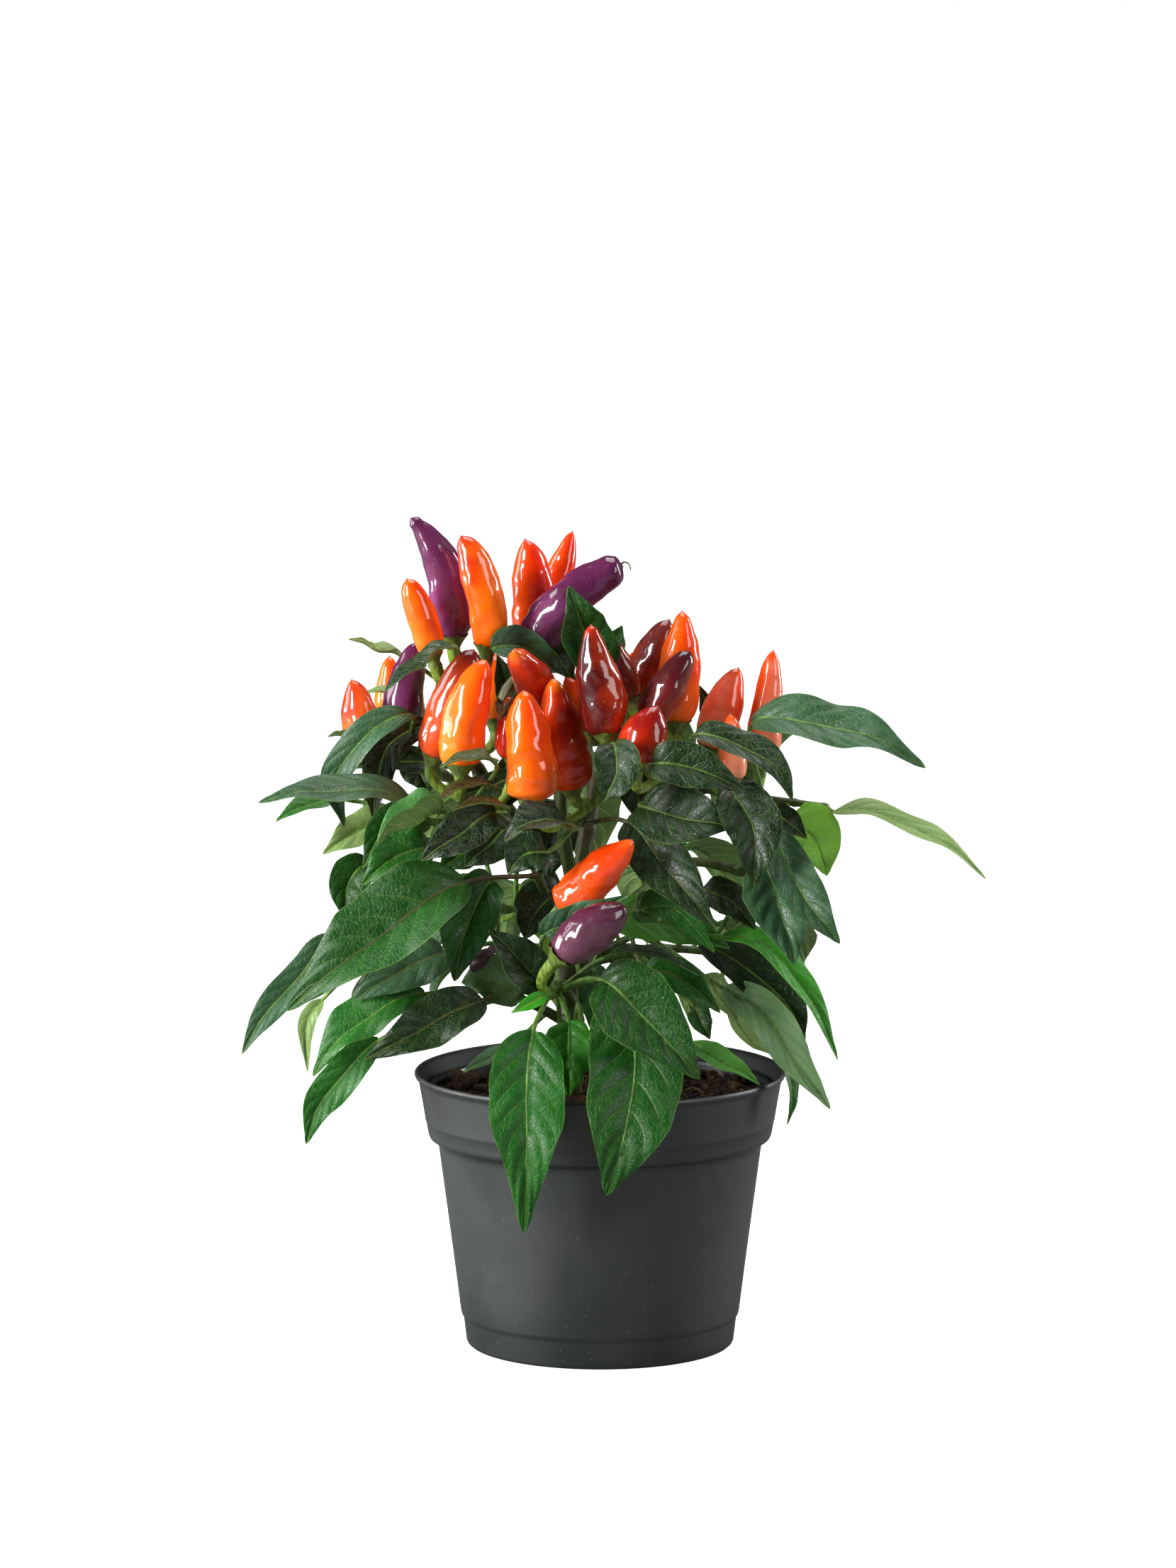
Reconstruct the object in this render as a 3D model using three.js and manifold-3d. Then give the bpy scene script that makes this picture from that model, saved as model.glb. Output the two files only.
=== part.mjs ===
// A chilli pepper plant in a plastic nursery pot: bushy, with upright fruits that ripen from violet
// through orange to red above drooping, folded leaves.
// Millimetres, +Z up, the front towards -Y. The origin is the middle of the pot's flat underside.

import * as THREE from "three";
import { mergeVertices } from "three/addons/utils/BufferGeometryUtils.js";
import Module from "manifold-3d";

const wasm = await Module();
wasm.setup();

// Driving dimensions

const GAP = 0.3; // between pieces that touch

const LIP_R = 60; // the outer pot's rim, a 12 cm nursery pot
const POT_H = 89.5;
const BAND_TOP_R = 58.8; // rim band, just under the lip
const BAND_LOW_R = 55.6;
const BAND_LOW_Z = 69.5;
const SHOULDER_R = 52.4; // top of the tapered wall
const SHOULDER_Z = 66;
const STEP_Z = 10; // small step above the foot
const STEP_R = 45;
const FOOT_R = 43.4;
const WALL = 1.2;
const POT_SIDES = 36;
const LINER_SIDES = 24;
const DRAIN_R = 3.5;
const DRAIN_AT = 28;
const DRAINS = 4;
const DRAIN_SIDES = 8;

const LINER_LIP_R = 55.6; // thin inner pot that stands in the outer one
const LINER_LIP_W = 1.9;
const LINER_TOP = 85;
const LINER_WALL = 0.9;

const SOIL_TOP = 82.5;
const SOIL_BUMP = 1.6;
const SOIL_SPOKES = 18;
const SOIL_RINGS = 3;

const STEM_SIDES = 6;
const TWIG_SIDES = 5;
const TWIG_STEPS = 3;
const STALK_R = [1.2, 1.9]; // pedicel, at the twig and under the calyx
const STALK_SIDES = 5;
const STALK_STEPS = 2;

const BLADE_T = 0.8; // leaf thickness
const BLADE_STEP = 12; // longest straight piece along a blade
const BLADE_STEPS = [2, 6]; // fewest and most pieces
const PETIOLE_R = 0.8;
const PETIOLE_STEP = 14;
const NARROW = 9.5; // narrower blades are flat across
const WIDEST = 0.4; // where a blade is widest, as a share of its length
const SWELL = 0.55; // how fast it widens from its base
const WAVE = 1; // rise and fall of its edges

const FRUIT_SIDES = 7;
const FRUIT_RINGS = [[0, 0.62], [0.14, 0.96], [0.45, 0.98], [0.8, 0.64], [1, 0.16]];
const CALYX_H = 2.6;
const CALYX_SHARE = 0.7; // calyx radius to fruit radius

// The plant, front side first. A twig is its two end radii and its points. A leaf hangs from
// [twig, share of its length] through points from its blade's base to its tip, with its width, the way
// its upper face looks and its fold in degrees. A fruit grows from [twig, share] with its base, tip,
// width and sideways bend.

const twig = (radii, points) => ({ radii, points });
const leaf = (on, points, width, face, fold) => ({ on, points, width, face, fold });
const fruit = (on, base, tip, width, bend, colour) => ({ on, base, tip, width, bend, colour });
const shoot = (name, twigs, leaves, fruits) => ({ name, twigs, leaves, fruits });

const TRUNK = [
  twig([3.3, 2.6], [[-9, 0, 64], [-9, -1, 90], [-10, -2, 120], [-8, -3, 150]]),
  twig([2.3, 1.8], [[-9, -2, 138], [-22, -6, 165], [-40, -8, 190]]),
  twig([2.3, 1.8], [[-8, -3, 144], [14, -4, 168], [36, -6, 184]]),
  twig([2.3, 1.8], [[-8, -3, 146], [-12, -12, 172], [-12, -12, 198]]),
  twig([2.3, 1.8], [[-9, -2, 140], [-4, 12, 166], [0, 24, 186]]),
];

const SHOOTS = [
  shoot("top_left", [
    twig([1.7, 1.3], [[-39, -8, 186], [-42, -1, 204], [-44, -4, 218]]),
  ], [
    leaf([0, 0.7], [[-63, -2, 224], [-71, -6, 227], [-80, -12, 231]], 10, [0, -0.2, 1], 18),
    leaf([0, 0.8], [[-47, -34, 231], [-56, -35, 226], [-68, -38, 217]], 12, [0, -0.2, 1], 18),
  ], [
    fruit([0, 0.92], [-47, -6, 230], [-60, -10, 269], 13.2, [7, 0, 7], "violet"),
    fruit([0, 1], [-36, -17, 228], [-44, -17, 264], 12, [6, 0, 2], "orange"),
    fruit([0, 0.85], [-53, -21, 226], [-61, -24, 251], 9.6, [1, 0, 1], "orange"),
  ]),
  shoot("far_left", [
    twig([1.7, 1.3], [[-32, -7, 178], [-50, -5, 186], [-64, -8, 190]]),
  ], [
    leaf([0, 0.8], [[-58, 4, 210], [-67, 4, 212], [-76, 2, 212]], 8, [0, -0.2, 1], 18),
    leaf([0, 0.95], [[-77, -24, 201], [-81, -27, 202], [-86, -30, 202]], 6, [0, -0.2, 1], 18),
    leaf([0, 1], [[-60, -26, 208], [-73, -32, 203], [-84, -33, 188], [-81, -30, 173]],
      12, [0, -0.7, 0.7], 18),
    leaf([0, 0.9], [[-55, -16, 203], [-67, -22, 198], [-71, -24, 186], [-72, -26, 175]],
      12, [0, -0.9, 0.4], 18),
    leaf([0, 0.7], [[-52, -8, 189], [-65, -14, 192], [-79, -18, 190]], 11, [0, -0.7, 0.7], 18),
    leaf([0, 0.4], [[-59, 6, 193], [-58, 4, 187], [-55, 3, 179]], 14, [0, -0.9, 0.4], 18),
  ], [
    fruit([0, 0.85], [-65, -8, 201], [-59, -8, 229], 12.6, [0, 0, 0], "violet"),
    fruit([0, 0.8], [-68, 14, 203], [-68, 15, 222], 9, [0, 0, 0], "orange"),
    fruit([0, 1], [-75, -14, 197], [-79, -16, 218], 12.2, [1, 0, 0], "red"),
  ]),
  shoot("left", [
    twig([1.7, 1.2], [[-22, -6, 163], [-42, -14, 170], [-58, -20, 174]]),
  ], [
    leaf([0, 1], [[-57, -34, 178], [-73, -45, 187], [-90, -51, 187], [-107, -54, 184]],
      17, [0, -0.4, 0.9], 10),
    leaf([0, 0.95], [[-78, -14, 179], [-92, -20, 179], [-103, -24, 174]], 10, [0, -0.4, 0.9], 18),
    leaf([0, 0.9], [[-65, -18, 175], [-77, -24, 171], [-88, -28, 164]], 12, [0, -0.9, 0.4], 18),
    leaf([0, 0.8], [[-50, -46, 180], [-59, -50, 177], [-70, -52, 171]], 18.5, [0, -0.2, 1], 62),
    leaf([0, 0.7], [[-54, -32, 175], [-66, -36, 175], [-75, -38, 161]], 13, [0, -0.9, 0.4], 18),
    leaf([0, 0.6], [[-53, -40, 168], [-64, -46, 166], [-75, -48, 157]], 14, [0, -0.9, 0.4], 18),
  ], []),
  shoot("left_big", [
    twig([1.8, 1.4], [[-9, -2, 128], [-16, -18, 146], [-20, -34, 158]]),
    twig([1.4, 1.1], [[-14, -12, 140], [-40, -18, 146], [-62, -20, 142]]),
  ], [
    leaf([0, 1], [[-42, -48, 158], [-59, -58, 150], [-77, -62, 137], [-98, -60, 119]],
      31, [-0.25, -0.85, 0.6], 20),
    leaf([1, 0.9], [[-74, -20, 159], [-80, -24, 154], [-81, -26, 142]], 14, [0, -0.9, 0.4], 18),
    leaf([1, 1], [[-85, -22, 137], [-95, -26, 125], [-107, -29, 112], [-114, -30, 100]],
      11, [0, -0.9, 0.4], 18),
    leaf([1, 0.95], [[-88, -32, 118], [-93, -34, 111], [-93, -34, 95]], 6, [0, -0.9, 0.4], 18),
    leaf([1, 0.7], [[-49, -32, 134], [-61, -36, 129], [-78, -40, 119]], 17, [0, -0.9, 0.4], 18),
    leaf([0, 0.95], [[-33, -46, 179], [-44, -54, 174], [-56, -56, 166]], 15, [0, -0.9, 0.4], 18),
    leaf([0, 0.7], [[-29, -24, 171], [-35, -28, 167], [-43, -28, 160]], 15, [0, -0.9, 0.4], 18),
    leaf([1, 0.25], [[-28, 2, 169], [-33, 0, 166], [-38, -2, 161]], 13, [0, -0.9, 0.4], 18),
    leaf([1, 0.35], [[-40, -1, 163], [-45, -3, 160], [-52, -5, 155]], 12, [0, -0.9, 0.4], 18),
    leaf([0, 0.5], [[-13, -20, 150], [-20, -28, 146], [-24, -30, 137]], 17, [0, -0.9, 0.4], 18),
    leaf([1, 0.5], [[-47, -24, 144], [-56, -26, 138], [-65, -26, 131]], 13, [0, -0.9, 0.4], 18),
  ], []),
  shoot("left_lower", [
    twig([1.8, 1.2], [[-9, -1, 104], [-22, -16, 114], [-34, -28, 121]]),
  ], [
    leaf([0, 1], [[-37, -46, 120], [-49, -52, 116], [-60, -55, 110], [-74, -57, 103]],
      17, [0, -0.9, 0.4], 18),
    leaf([0, 0.9], [[-55, -34, 120], [-68, -40, 117], [-80, -42, 109], [-91, -42, 95]],
      20, [-0.3, -0.7, 0.7], 18),
    leaf([0, 0.75], [[-70, -20, 103], [-81, -24, 93], [-90, -26, 82], [-94, -26, 70]],
      13, [0, -0.9, 0.4], 18),
    leaf([0, 0.95], [[-34, -40, 157], [-42, -46, 144], [-46, -46, 126]], 18, [0, -0.9, 0.4], 18),
    leaf([0, 0.85], [[-19, -46, 124], [-25, -54, 134], [-35, -56, 144]], 15, [0, -0.9, 0.4], 18),
    leaf([0, 0.8], [[-25, -34, 120], [-35, -36, 125], [-44, -36, 124]], 17, [0, -0.9, 0.4], 18),
    leaf([0, 0.3], [[-30, -4, 97], [-36, -6, 94], [-44, -8, 90]], 8, [0, -0.3, 0.9], 18),
  ], []),
  shoot("front_low", [
    twig([1.9, 1.5], [[-9, -2, 112], [-12, -22, 120], [-16, -42, 121]]),
  ], [
    leaf([0, 1], [[-21, -55, 112], [-23, -64, 96], [-23, -67, 79], [-24, -64, 49]],
      25, [0, -1, 0.2], 14),
    leaf([0, 0.85], [[5, -46, 126], [11, -57, 104], [8, -67, 83], [2, -64, 61]],
      31, [0.1, -1, 0.2], 10),
    leaf([0, 0.7], [[-10, -44, 113], [-10, -50, 103], [-10, -50, 90]], 16, [0, -1, 0.2], 14),
    leaf([0, 0.8], [[0, -54, 128], [13, -61, 118], [31, -64, 98]], 26, [0, -0.9, 0.4], 14),
    leaf([0, 0.95], [[-18, -50, 141], [-8, -52, 146], [9, -55, 155]], 12, [0, -1, -0.15], 6),
    leaf([0, 0.6], [[1, -38, 132], [15, -44, 135], [31, -46, 128]], 9, [0, -0.2, 1], 18),
    leaf([0, 0.5], [[-3, -26, 127], [-2, -30, 119], [-3, -30, 108]], 11, [0, -0.9, 0.4], 18),
    leaf([0, 0.9], [[-17, -54, 123], [-22, -57, 121], [-28, -58, 118]], 5, [0, -0.9, 0.4], 18),
  ], [
    fruit([0, 0.9], [-11, -43, 150], [10, -54, 172], 14.2, [0, 0, 0], "orange"),
    fruit([0, 1], [-13, -59, 136], [8, -64, 152], 15, [-1, 0, 2], "violet"),
  ]),
  shoot("centre", [
    twig([1.7, 1.3], [[-12, -12, 168], [-6, -20, 174], [2, -21, 184]]),
  ], [
    leaf([0, 0.5], [[-9, -50, 175], [-19, -60, 180], [-30, -62, 173]], 17, [0, -0.4, 0.9], 18),
    leaf([0, 0.4], [[-17, -52, 168], [-24, -57, 168], [-29, -58, 162]], 14, [0, -0.9, 0.4], 18),
    leaf([0, 0.7], [[4, -51, 202], [5, -60, 194], [1, -59, 185]], 15, [0, -0.9, 0.4], 18),
    leaf([0, 0.3], [[8, -32, 175], [20, -45, 163], [36, -52, 144]], 19, [0, -0.9, 0.4], 18),
    leaf([0, 0.15], [[-13, 0, 176], [-17, -4, 165], [-19, -6, 150]], 20, [0, -0.9, 0.4], 18),
  ], [
    fruit([0, 0.8], [-21, -43, 184], [-24, -45, 218], 16.5, [0, 0, 0], "orange"),
    fruit([0, 0.85], [-9, -27, 185], [-15, -29, 220], 15, [0, 0, 0], "maroon"),
    fruit([0, 1], [2, -37, 203], [-3, -38, 238], 15, [0, 0, 0], "maroon"),
  ]),
  shoot("centre_left", [
    twig([1.9, 1.5], [[-26, -7, 169], [-38, -18, 177], [-45, -24, 182]]),
  ], [
    leaf([0, 0.7], [[-33, -50, 196], [-41, -53, 198], [-50, -53, 195]], 10, [0, -0.2, 1], 18),
    leaf([0, 0.5], [[-32, -38, 186], [-43, -44, 188], [-52, -48, 182]], 8, [0, -0.2, 1], 18),
    leaf([0, 0.4], [[-29, -48, 181], [-37, -53, 184], [-46, -57, 182]], 7, [0, -0.2, 1], 18),
    leaf([0, 0.2], [[-25, -8, 191], [-30, -12, 183], [-33, -14, 174]], 13, [0, -0.9, 0.4], 18),
    leaf([0, 0.3], [[-27, -13, 186], [-37, -14, 183], [-47, -14, 180]], 9, [0, -0.9, 0.4], 18),
  ], [
    fruit([0, 0.9], [-53, -22, 194], [-40, -28, 229], 13.6, [-1.5, 0, 0], "red"),
    fruit([0, 1], [-44, -39, 193], [-36, -39, 227], 14.6, [-4, 0, 0], "orange"),
    fruit([0, 0.4], [-28, -18, 193], [-29, -18, 213], 10, [0, 0, 0], "red"),
  ]),
  shoot("top", [
    twig([1.7, 1.3], [[-12, -11, 194], [-6, 0, 208], [-12, -1, 224]]),
  ], [
    leaf([0, 0.7], [[0, -22, 221], [-5, -31, 235], [-10, -35, 250]], 17, [0, -0.9, 0.4], 18),
    leaf([0, 0.6], [[4, -2, 223], [5, -2, 229], [7, -2, 234]], 7, [0, -0.9, 0.4], 18),
    leaf([0, 0.85], [[-18, -1, 228], [-13, -6, 224], [-9, -8, 217]], 12, [0, -0.9, 0.4], 18),
    leaf([0, 0.95], [[-34, -25, 229], [-24, -19, 229], [-14, -12, 220]], 13, [0, -0.9, 0.4], 18),
    leaf([0, 0.2], [[-27, 5, 205], [-30, 3, 215], [-33, 2, 224]], 9, [0, -0.9, 0.4], 18),
  ], [
    fruit([0, 1], [-23, 6, 228], [-24, 4, 261], 13, [4, 0, 0], "red"),
    fruit([0, 0.95], [-18, 19, 232], [-9, 19, 262], 10, [0, 0, 0], "red"),
    fruit([0, 1], [-22, -9, 229], [7, -12, 254], 14.5, [0, 0, 8], "violet"),
    fruit([0, 0.3], [-16, -12, 208], [-27, -37, 230], 12, [0, 0, 0], "red"),
    fruit([0, 0.25], [-3, -17, 204], [-11, -17, 219], 9, [0, 0, 0], "orange"),
    fruit([0, 0.4], [10, -16, 212], [4, -18, 231], 9, [0, 0, 0], "maroon"),
  ]),
  shoot("right_centre", [
    twig([1.7, 1.3], [[10, -4, 164], [16, -18, 178], [19, -22, 190]]),
  ], [
    leaf([0, 0.9], [[16, -54, 196], [28, -59, 196], [45, -57, 188]], 15.5, [0, -0.9, 0.4], 18),
    leaf([0, 0.6], [[13, -42, 181], [26, -52, 179], [41, -54, 176]], 22, [0, -0.9, 0.4], 18),
    leaf([0, 0.5], [[13, -14, 192], [12, -18, 183], [13, -18, 172]], 13, [0, -0.9, 0.4], 18),
    leaf([0, 0.8], [[38, 6, 200], [35, 5, 206], [32, 3, 214]], 7, [0, -0.9, 0.4], 18),
  ], [
    fruit([0, 0.85], [11, -3, 211], [22, -4, 236], 12.5, [0, 0, 0], "maroon"),
    fruit([0, 0.95], [24, -17, 204], [26, -17, 240], 14, [0, 0, 0], "orange"),
    fruit([0, 1], [15, -32, 207], [28, -31, 229], 12.2, [0, 0, 0], "maroon"),
    fruit([0, 0.9], [12, -43, 196], [18, -44, 213], 14.6, [-1, 0, 1], "red"),
  ]),
  shoot("right", [
    twig([1.7, 1.3], [[34, -6, 182], [44, -12, 181], [52, -15, 180]]),
    twig([1.3, 1], [[50, -14, 180], [62, -18, 179], [72, -20, 178]]),
  ], [
    leaf([0, 1], [[48, -26, 205], [65, -36, 207], [83, -42, 204], [102, -46, 194]],
      18, [0, -0.7, 0.7], 16),
    leaf([0, 0.5], [[29, -46, 204], [42, -50, 202], [54, -54, 196], [60, -56, 185]],
      12.5, [0, -0.6, 0.8], 18),
    leaf([1, 1], [[74, -24, 177], [88, -28, 177], [107, -32, 169], [122, -34, 157]],
      11.5, [0, -0.35, 0.95], 14),
    leaf([1, 0.4], [[60, -22, 175], [68, -26, 169], [72, -28, 157]], 19, [0, -0.9, 0.4], 18),
    leaf([0, 0.75], [[41, -46, 187], [48, -55, 176], [48, -56, 158]], 19, [0, -0.9, 0.4], 18),
    leaf([0, 0.9], [[53, -36, 180], [59, -40, 176], [65, -42, 171]], 9, [0, -0.9, 0.4], 18),
  ], [
    fruit([0, 0.2], [35, -9, 195], [44, -9, 221], 13.2, [0, 0, 0], "red"),
    fruit([0, 0.65], [42, -32, 188], [41, -32, 209], 9, [0, 0, 0], "orange"),
    fruit([0, 0.9], [51, -13, 190], [55, -13, 227], 10.6, [0, 0, 0], "red"),
  ]),
  shoot("right_low", [
    twig([1.9, 1.4], [[-8, -3, 128], [14, -14, 150], [28, -20, 160], [47, -28, 158]]),
    twig([1.4, 1], [[-9, -2, 118], [4, -14, 132], [16, -22, 139]]),
  ], [
    leaf([0, 1], [[54, -44, 172], [60, -51, 161], [67, -56, 150], [75, -58, 140]],
      15, [0, -0.9, 0.4], 18),
    leaf([0, 0.92], [[51, -40, 163], [56, -45, 151], [61, -49, 132]], 22, [0, -0.9, 0.4], 18),
    leaf([1, 1], [[38, -32, 138], [53, -40, 136], [65, -44, 122], [75, -46, 101]],
      12, [0.3, -0.6, 0.7], 18),
    leaf([1, 0.95], [[31, -24, 135], [48, -28, 126], [60, -30, 115], [65, -30, 103]],
      15, [0, -0.9, 0.4], 18),
    leaf([1, 0.85], [[39, -28, 121], [52, -36, 114], [62, -40, 99], [73, -40, 84]],
      14, [0, -0.9, 0.4], 18),
    leaf([0, 0.4], [[11, -36, 147], [22, -40, 149], [36, -44, 135]], 12, [0, -0.9, 0.4], 18),
    leaf([0, 0.3], [[3, -24, 144], [22, -27, 142], [41, -30, 134]], 16, [0, -0.9, 0.4], 18),
    leaf([1, 0.75], [[14, -34, 129], [25, -38, 126], [38, -40, 115]], 12, [0, -0.9, 0.4], 18),
    leaf([0, 0.65], [[32, -36, 154], [41, -40, 151], [49, -42, 142]], 12, [0, -0.9, 0.4], 18),
    leaf([1, 0.9], [[33, -16, 123], [38, -18, 117], [44, -18, 108]], 10, [0, 0.8, 0.6], 18),
    leaf([1, 0.6], [[30, -22, 114], [32, -25, 110], [35, -26, 104]], 8, [0, -0.9, 0.4], 18),
  ], []),
  shoot("right_back", [
    twig([1.7, 1.1], [[-8, -2, 124], [20, 6, 128], [44, 6, 126]]),
  ], [
    leaf([0, 0.5], [[29, -14, 101], [39, -20, 96], [51, -24, 89]], 10, [0, -0.5, 0.8], 18),
    leaf([0, 1], [[57, -22, 101], [61, -26, 90], [60, -24, 76]], 8, [0.8, -0.5, 0.3], 18),
    leaf([0, 0.9], [[41, -10, 112], [48, -12, 102], [57, -14, 96]], 7, [0, 0.8, 0.6], 18),
    leaf([0, 0.9], [[52, 20, 136], [62, 32, 132], [66, 42, 116]], 20, [0.5, 0.4, 0.8], 18),
    leaf([0, 0.7], [[36, 28, 132], [46, 46, 124], [50, 56, 104]], 20, [0.4, 0.7, 0.7], 18),
    leaf([0, 0.8], [[50, 12, 148], [60, 16, 142], [68, 18, 124]], 17, [0.8, 0.1, 0.6], 18),
    leaf([0, 0.85], [[50, -4, 140], [60, -6, 134], [64, -8, 119]], 18, [0.9, -0.1, 0.4], 18),
    leaf([0, 0.35], [[22, 18, 116], [28, 30, 110], [30, 38, 98]], 18, [0.5, 0.7, 0.5], 18),
    leaf([0, 0.6], [[34, 0, 148], [43, 2, 141], [47, 4, 126]], 17, [0.7, 0.3, 0.5], 18),
  ], []),
  shoot("back_left", [
    twig([1.7, 1.2], [[-29, -7, 175], [-42, 8, 182], [-50, 22, 190]]),
  ], [
    leaf([0, 1], [[-60, 40, 198], [-70, 54, 192], [-76, 64, 172]], 20, [-0.4, 0.5, 0.9], 18),
    leaf([0, 0.85], [[-60, 18, 197], [-70, 26, 197], [-80, 32, 185]], 16, [-0.3, 0.2, 1], 18),
    leaf([0, 0.7], [[-50, 44, 176], [-54, 60, 166], [-58, 70, 144]], 22, [-0.4, 0.8, 0.6], 18),
    leaf([0, 0.5], [[-56, 26, 170], [-66, 38, 162], [-71, 44, 146]], 18, [-0.6, 0.4, 0.7], 18),
    leaf([0, 0.25], [[-50, 4, 164], [-62, 4, 158], [-68, 6, 140]], 18, [-0.9, 0.1, 0.5], 18),
    leaf([0, 0.75], [[-60, 8, 188], [-70, 10, 184], [-76, 12, 170]], 15, [-0.9, 0.1, 0.5], 18),
  ], [
    fruit([0, 1], [-46, 26, 198], [-51, 30, 216], 11, [0, 0, 0], "red"),
    fruit([0, 0.9], [-34, 22, 200], [-36, 26, 222], 12, [0, 0, 0], "orange"),
  ]),
  shoot("back", [
    twig([1.7, 1.2], [[0, 23, 184], [-4, 30, 190], [-6, 36, 196]]),
  ], [
    leaf([0, 1], [[-14, 54, 196], [-22, 70, 186], [-26, 80, 164]], 22, [-0.2, 0.8, 0.7], 18),
    leaf([0, 0.85], [[8, 52, 198], [20, 70, 190], [26, 82, 168]], 24, [0.2, 0.7, 0.8], 18),
    leaf([0, 0.4], [[-4, 52, 178], [-4, 70, 164], [-4, 78, 140]], 24, [0, 0.9, 0.5], 18),
  ], [
    fruit([0, 1], [-6, 36, 206], [-4, 40, 226], 13, [0, 0, 0], "violet"),
    fruit([0, 0.9], [-20, 32, 200], [-24, 36, 219], 12, [0, 0, 0], "red"),
    fruit([0, 0.7], [9, 28, 202], [13, 32, 222], 12, [0, 0, 0], "orange"),
  ]),
  shoot("back_right", [
    twig([1.7, 1.2], [[20, -4, 170], [32, 12, 180], [42, 24, 184]]),
  ], [
    leaf([0, 1], [[40, 42, 186], [44, 56, 180], [46, 64, 162]], 20, [0.4, 0.5, 0.9], 18),
    leaf([0, 0.85], [[56, 16, 192], [70, 26, 200], [86, 34, 197]], 16, [0.3, 0.2, 1], 18),
    leaf([0, 0.6], [[42, 44, 176], [46, 60, 166], [50, 70, 146]], 22, [0.4, 0.8, 0.6], 18),
    leaf([0, 0.5], [[52, 24, 170], [62, 34, 162], [68, 40, 146]], 18, [0.6, 0.4, 0.7], 18),
    leaf([0, 0.4], [[44, 4, 166], [56, 6, 162], [62, 8, 146]], 18, [0.8, 0.1, 0.6], 18),
  ], [
    fruit([0, 0.95], [38, 20, 190], [38, 22, 209], 12, [0, 0, 0], "red"),
    fruit([0, 0.6], [24, 16, 202], [24, 18, 226], 11, [0, 0, 0], "maroon"),
  ]),
  shoot("back_low_left", [
    twig([1.7, 1.1], [[-9, -2, 116], [-20, 18, 132], [-34, 32, 138]]),
  ], [
    leaf([0, 1], [[-44, 44, 144], [-56, 54, 138], [-64, 60, 118]], 22, [-0.5, 0.6, 0.7], 18),
    leaf([0, 0.8], [[-26, 50, 142], [-30, 66, 132], [-32, 74, 112]], 20, [-0.2, 0.9, 0.5], 18),
    leaf([0, 0.6], [[-48, 22, 140], [-62, 30, 136], [-74, 34, 120]], 18, [-0.5, 0.3, 0.8], 18),
    leaf([0, 0.4], [[-46, 6, 152], [-58, 8, 147], [-68, 8, 130]], 17, [-0.8, 0.1, 0.6], 18),
    leaf([0, 0.35], [[-38, 2, 130], [-48, 0, 124], [-54, -2, 110]], 17, [-0.9, -0.1, 0.4], 18),
    leaf([0, 0.9], [[-64, -8, 130], [-74, -10, 122], [-78, -12, 106]], 16, [-0.9, -0.1, 0.4], 18),
    leaf([0, 0.3], [[-10, 30, 120], [-12, 42, 112], [-12, 50, 98]], 18, [0, 0.8, 0.5], 18),
  ], []),
  shoot("back_low", [
    twig([1.7, 1.1], [[-8, -2, 132], [2, 20, 146], [8, 34, 150]]),
  ], [
    leaf([0, 1], [[10, 54, 152], [14, 70, 142], [16, 78, 118]], 22, [0.1, 0.9, 0.5], 18),
    leaf([0, 0.8], [[26, 46, 154], [38, 60, 150], [46, 68, 130]], 20, [0.4, 0.7, 0.7], 18),
  ], []),
];

const COLOURS = {
  violet: 0x4a1f45,
  maroon: 0x5a1a14,
  red: 0xb01a08,
  orange: 0xe8660a,
};

// Vectors and solids

const V = (p) => new THREE.Vector3(...p);
const through = (points) => new THREE.CatmullRomCurve3(points.map(V));

function solidOf(geometry) {
  const flat = geometry.clone();
  flat.deleteAttribute("normal");
  flat.deleteAttribute("uv");
  const merged = mergeVertices(flat, 1e-4);
  const mesh = new wasm.Mesh({
    numProp: 3,
    vertProperties: new Float32Array(merged.attributes.position.array),
    triVerts: new Uint32Array(merged.index.array),
  });
  return new wasm.Manifold(mesh);
}

function geometryOf(solid) {
  const mesh = solid.getMesh();
  const points = new Float32Array(mesh.numVert * 3);
  for (let i = 0; i < mesh.numVert; i++) {
    points.set(mesh.vertProperties.subarray(i * mesh.numProp, i * mesh.numProp + 3), i * 3);
  }
  const geometry = new THREE.BufferGeometry();
  geometry.setAttribute("position", new THREE.BufferAttribute(points, 3));
  geometry.setIndex(new THREE.BufferAttribute(new Uint32Array(mesh.triVerts), 1));
  geometry.computeVertexNormals();
  return geometry;
}

const join = (solids) => solids.reduce((all, one) => all.add(one));

function largest(solid) {
  const parts = solid.decompose();
  return parts.reduce((best, one) => (one.volume() > best.volume() ? one : best));
}

function seeded(seed) {
  let state = seed;
  return () => {
    state = (state * 1664525 + 1013904223) % 4294967296;
    return state / 4294967296;
  };
}

// Rings of points, alike in number, are closed into one skin with flat ends.

function skin(rings) {
  const n = rings[0].length;
  const points = rings.flat().flatMap((p) => [p.x, p.y, p.z]);
  const index = [];
  for (let j = 0; j + 1 < rings.length; j++) {
    for (let i = 0; i < n; i++) {
      const a = j * n + i;
      const b = j * n + ((i + 1) % n);
      index.push(a, b, b + n, a, b + n, a + n);
    }
  }
  const last = (rings.length - 1) * n;
  for (let i = 1; i + 1 < n; i++) {
    index.push(0, i + 1, i, last, last + i, last + i + 1);
  }
  const geometry = new THREE.BufferGeometry();
  geometry.setAttribute("position", new THREE.Float32BufferAttribute(points, 3));
  geometry.setIndex(index);
  return geometry;
}

// The frame on a curve: forward, to the side, and up out of the face that looks along "face".

function frameAt(curve, t, face) {
  const at = curve.getPoint(t);
  const ahead = curve.getTangent(t);
  const side = new THREE.Vector3().crossVectors(ahead, face).normalize();
  const up = new THREE.Vector3().crossVectors(side, ahead).normalize();
  return { at, ahead, side, up };
}

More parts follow.
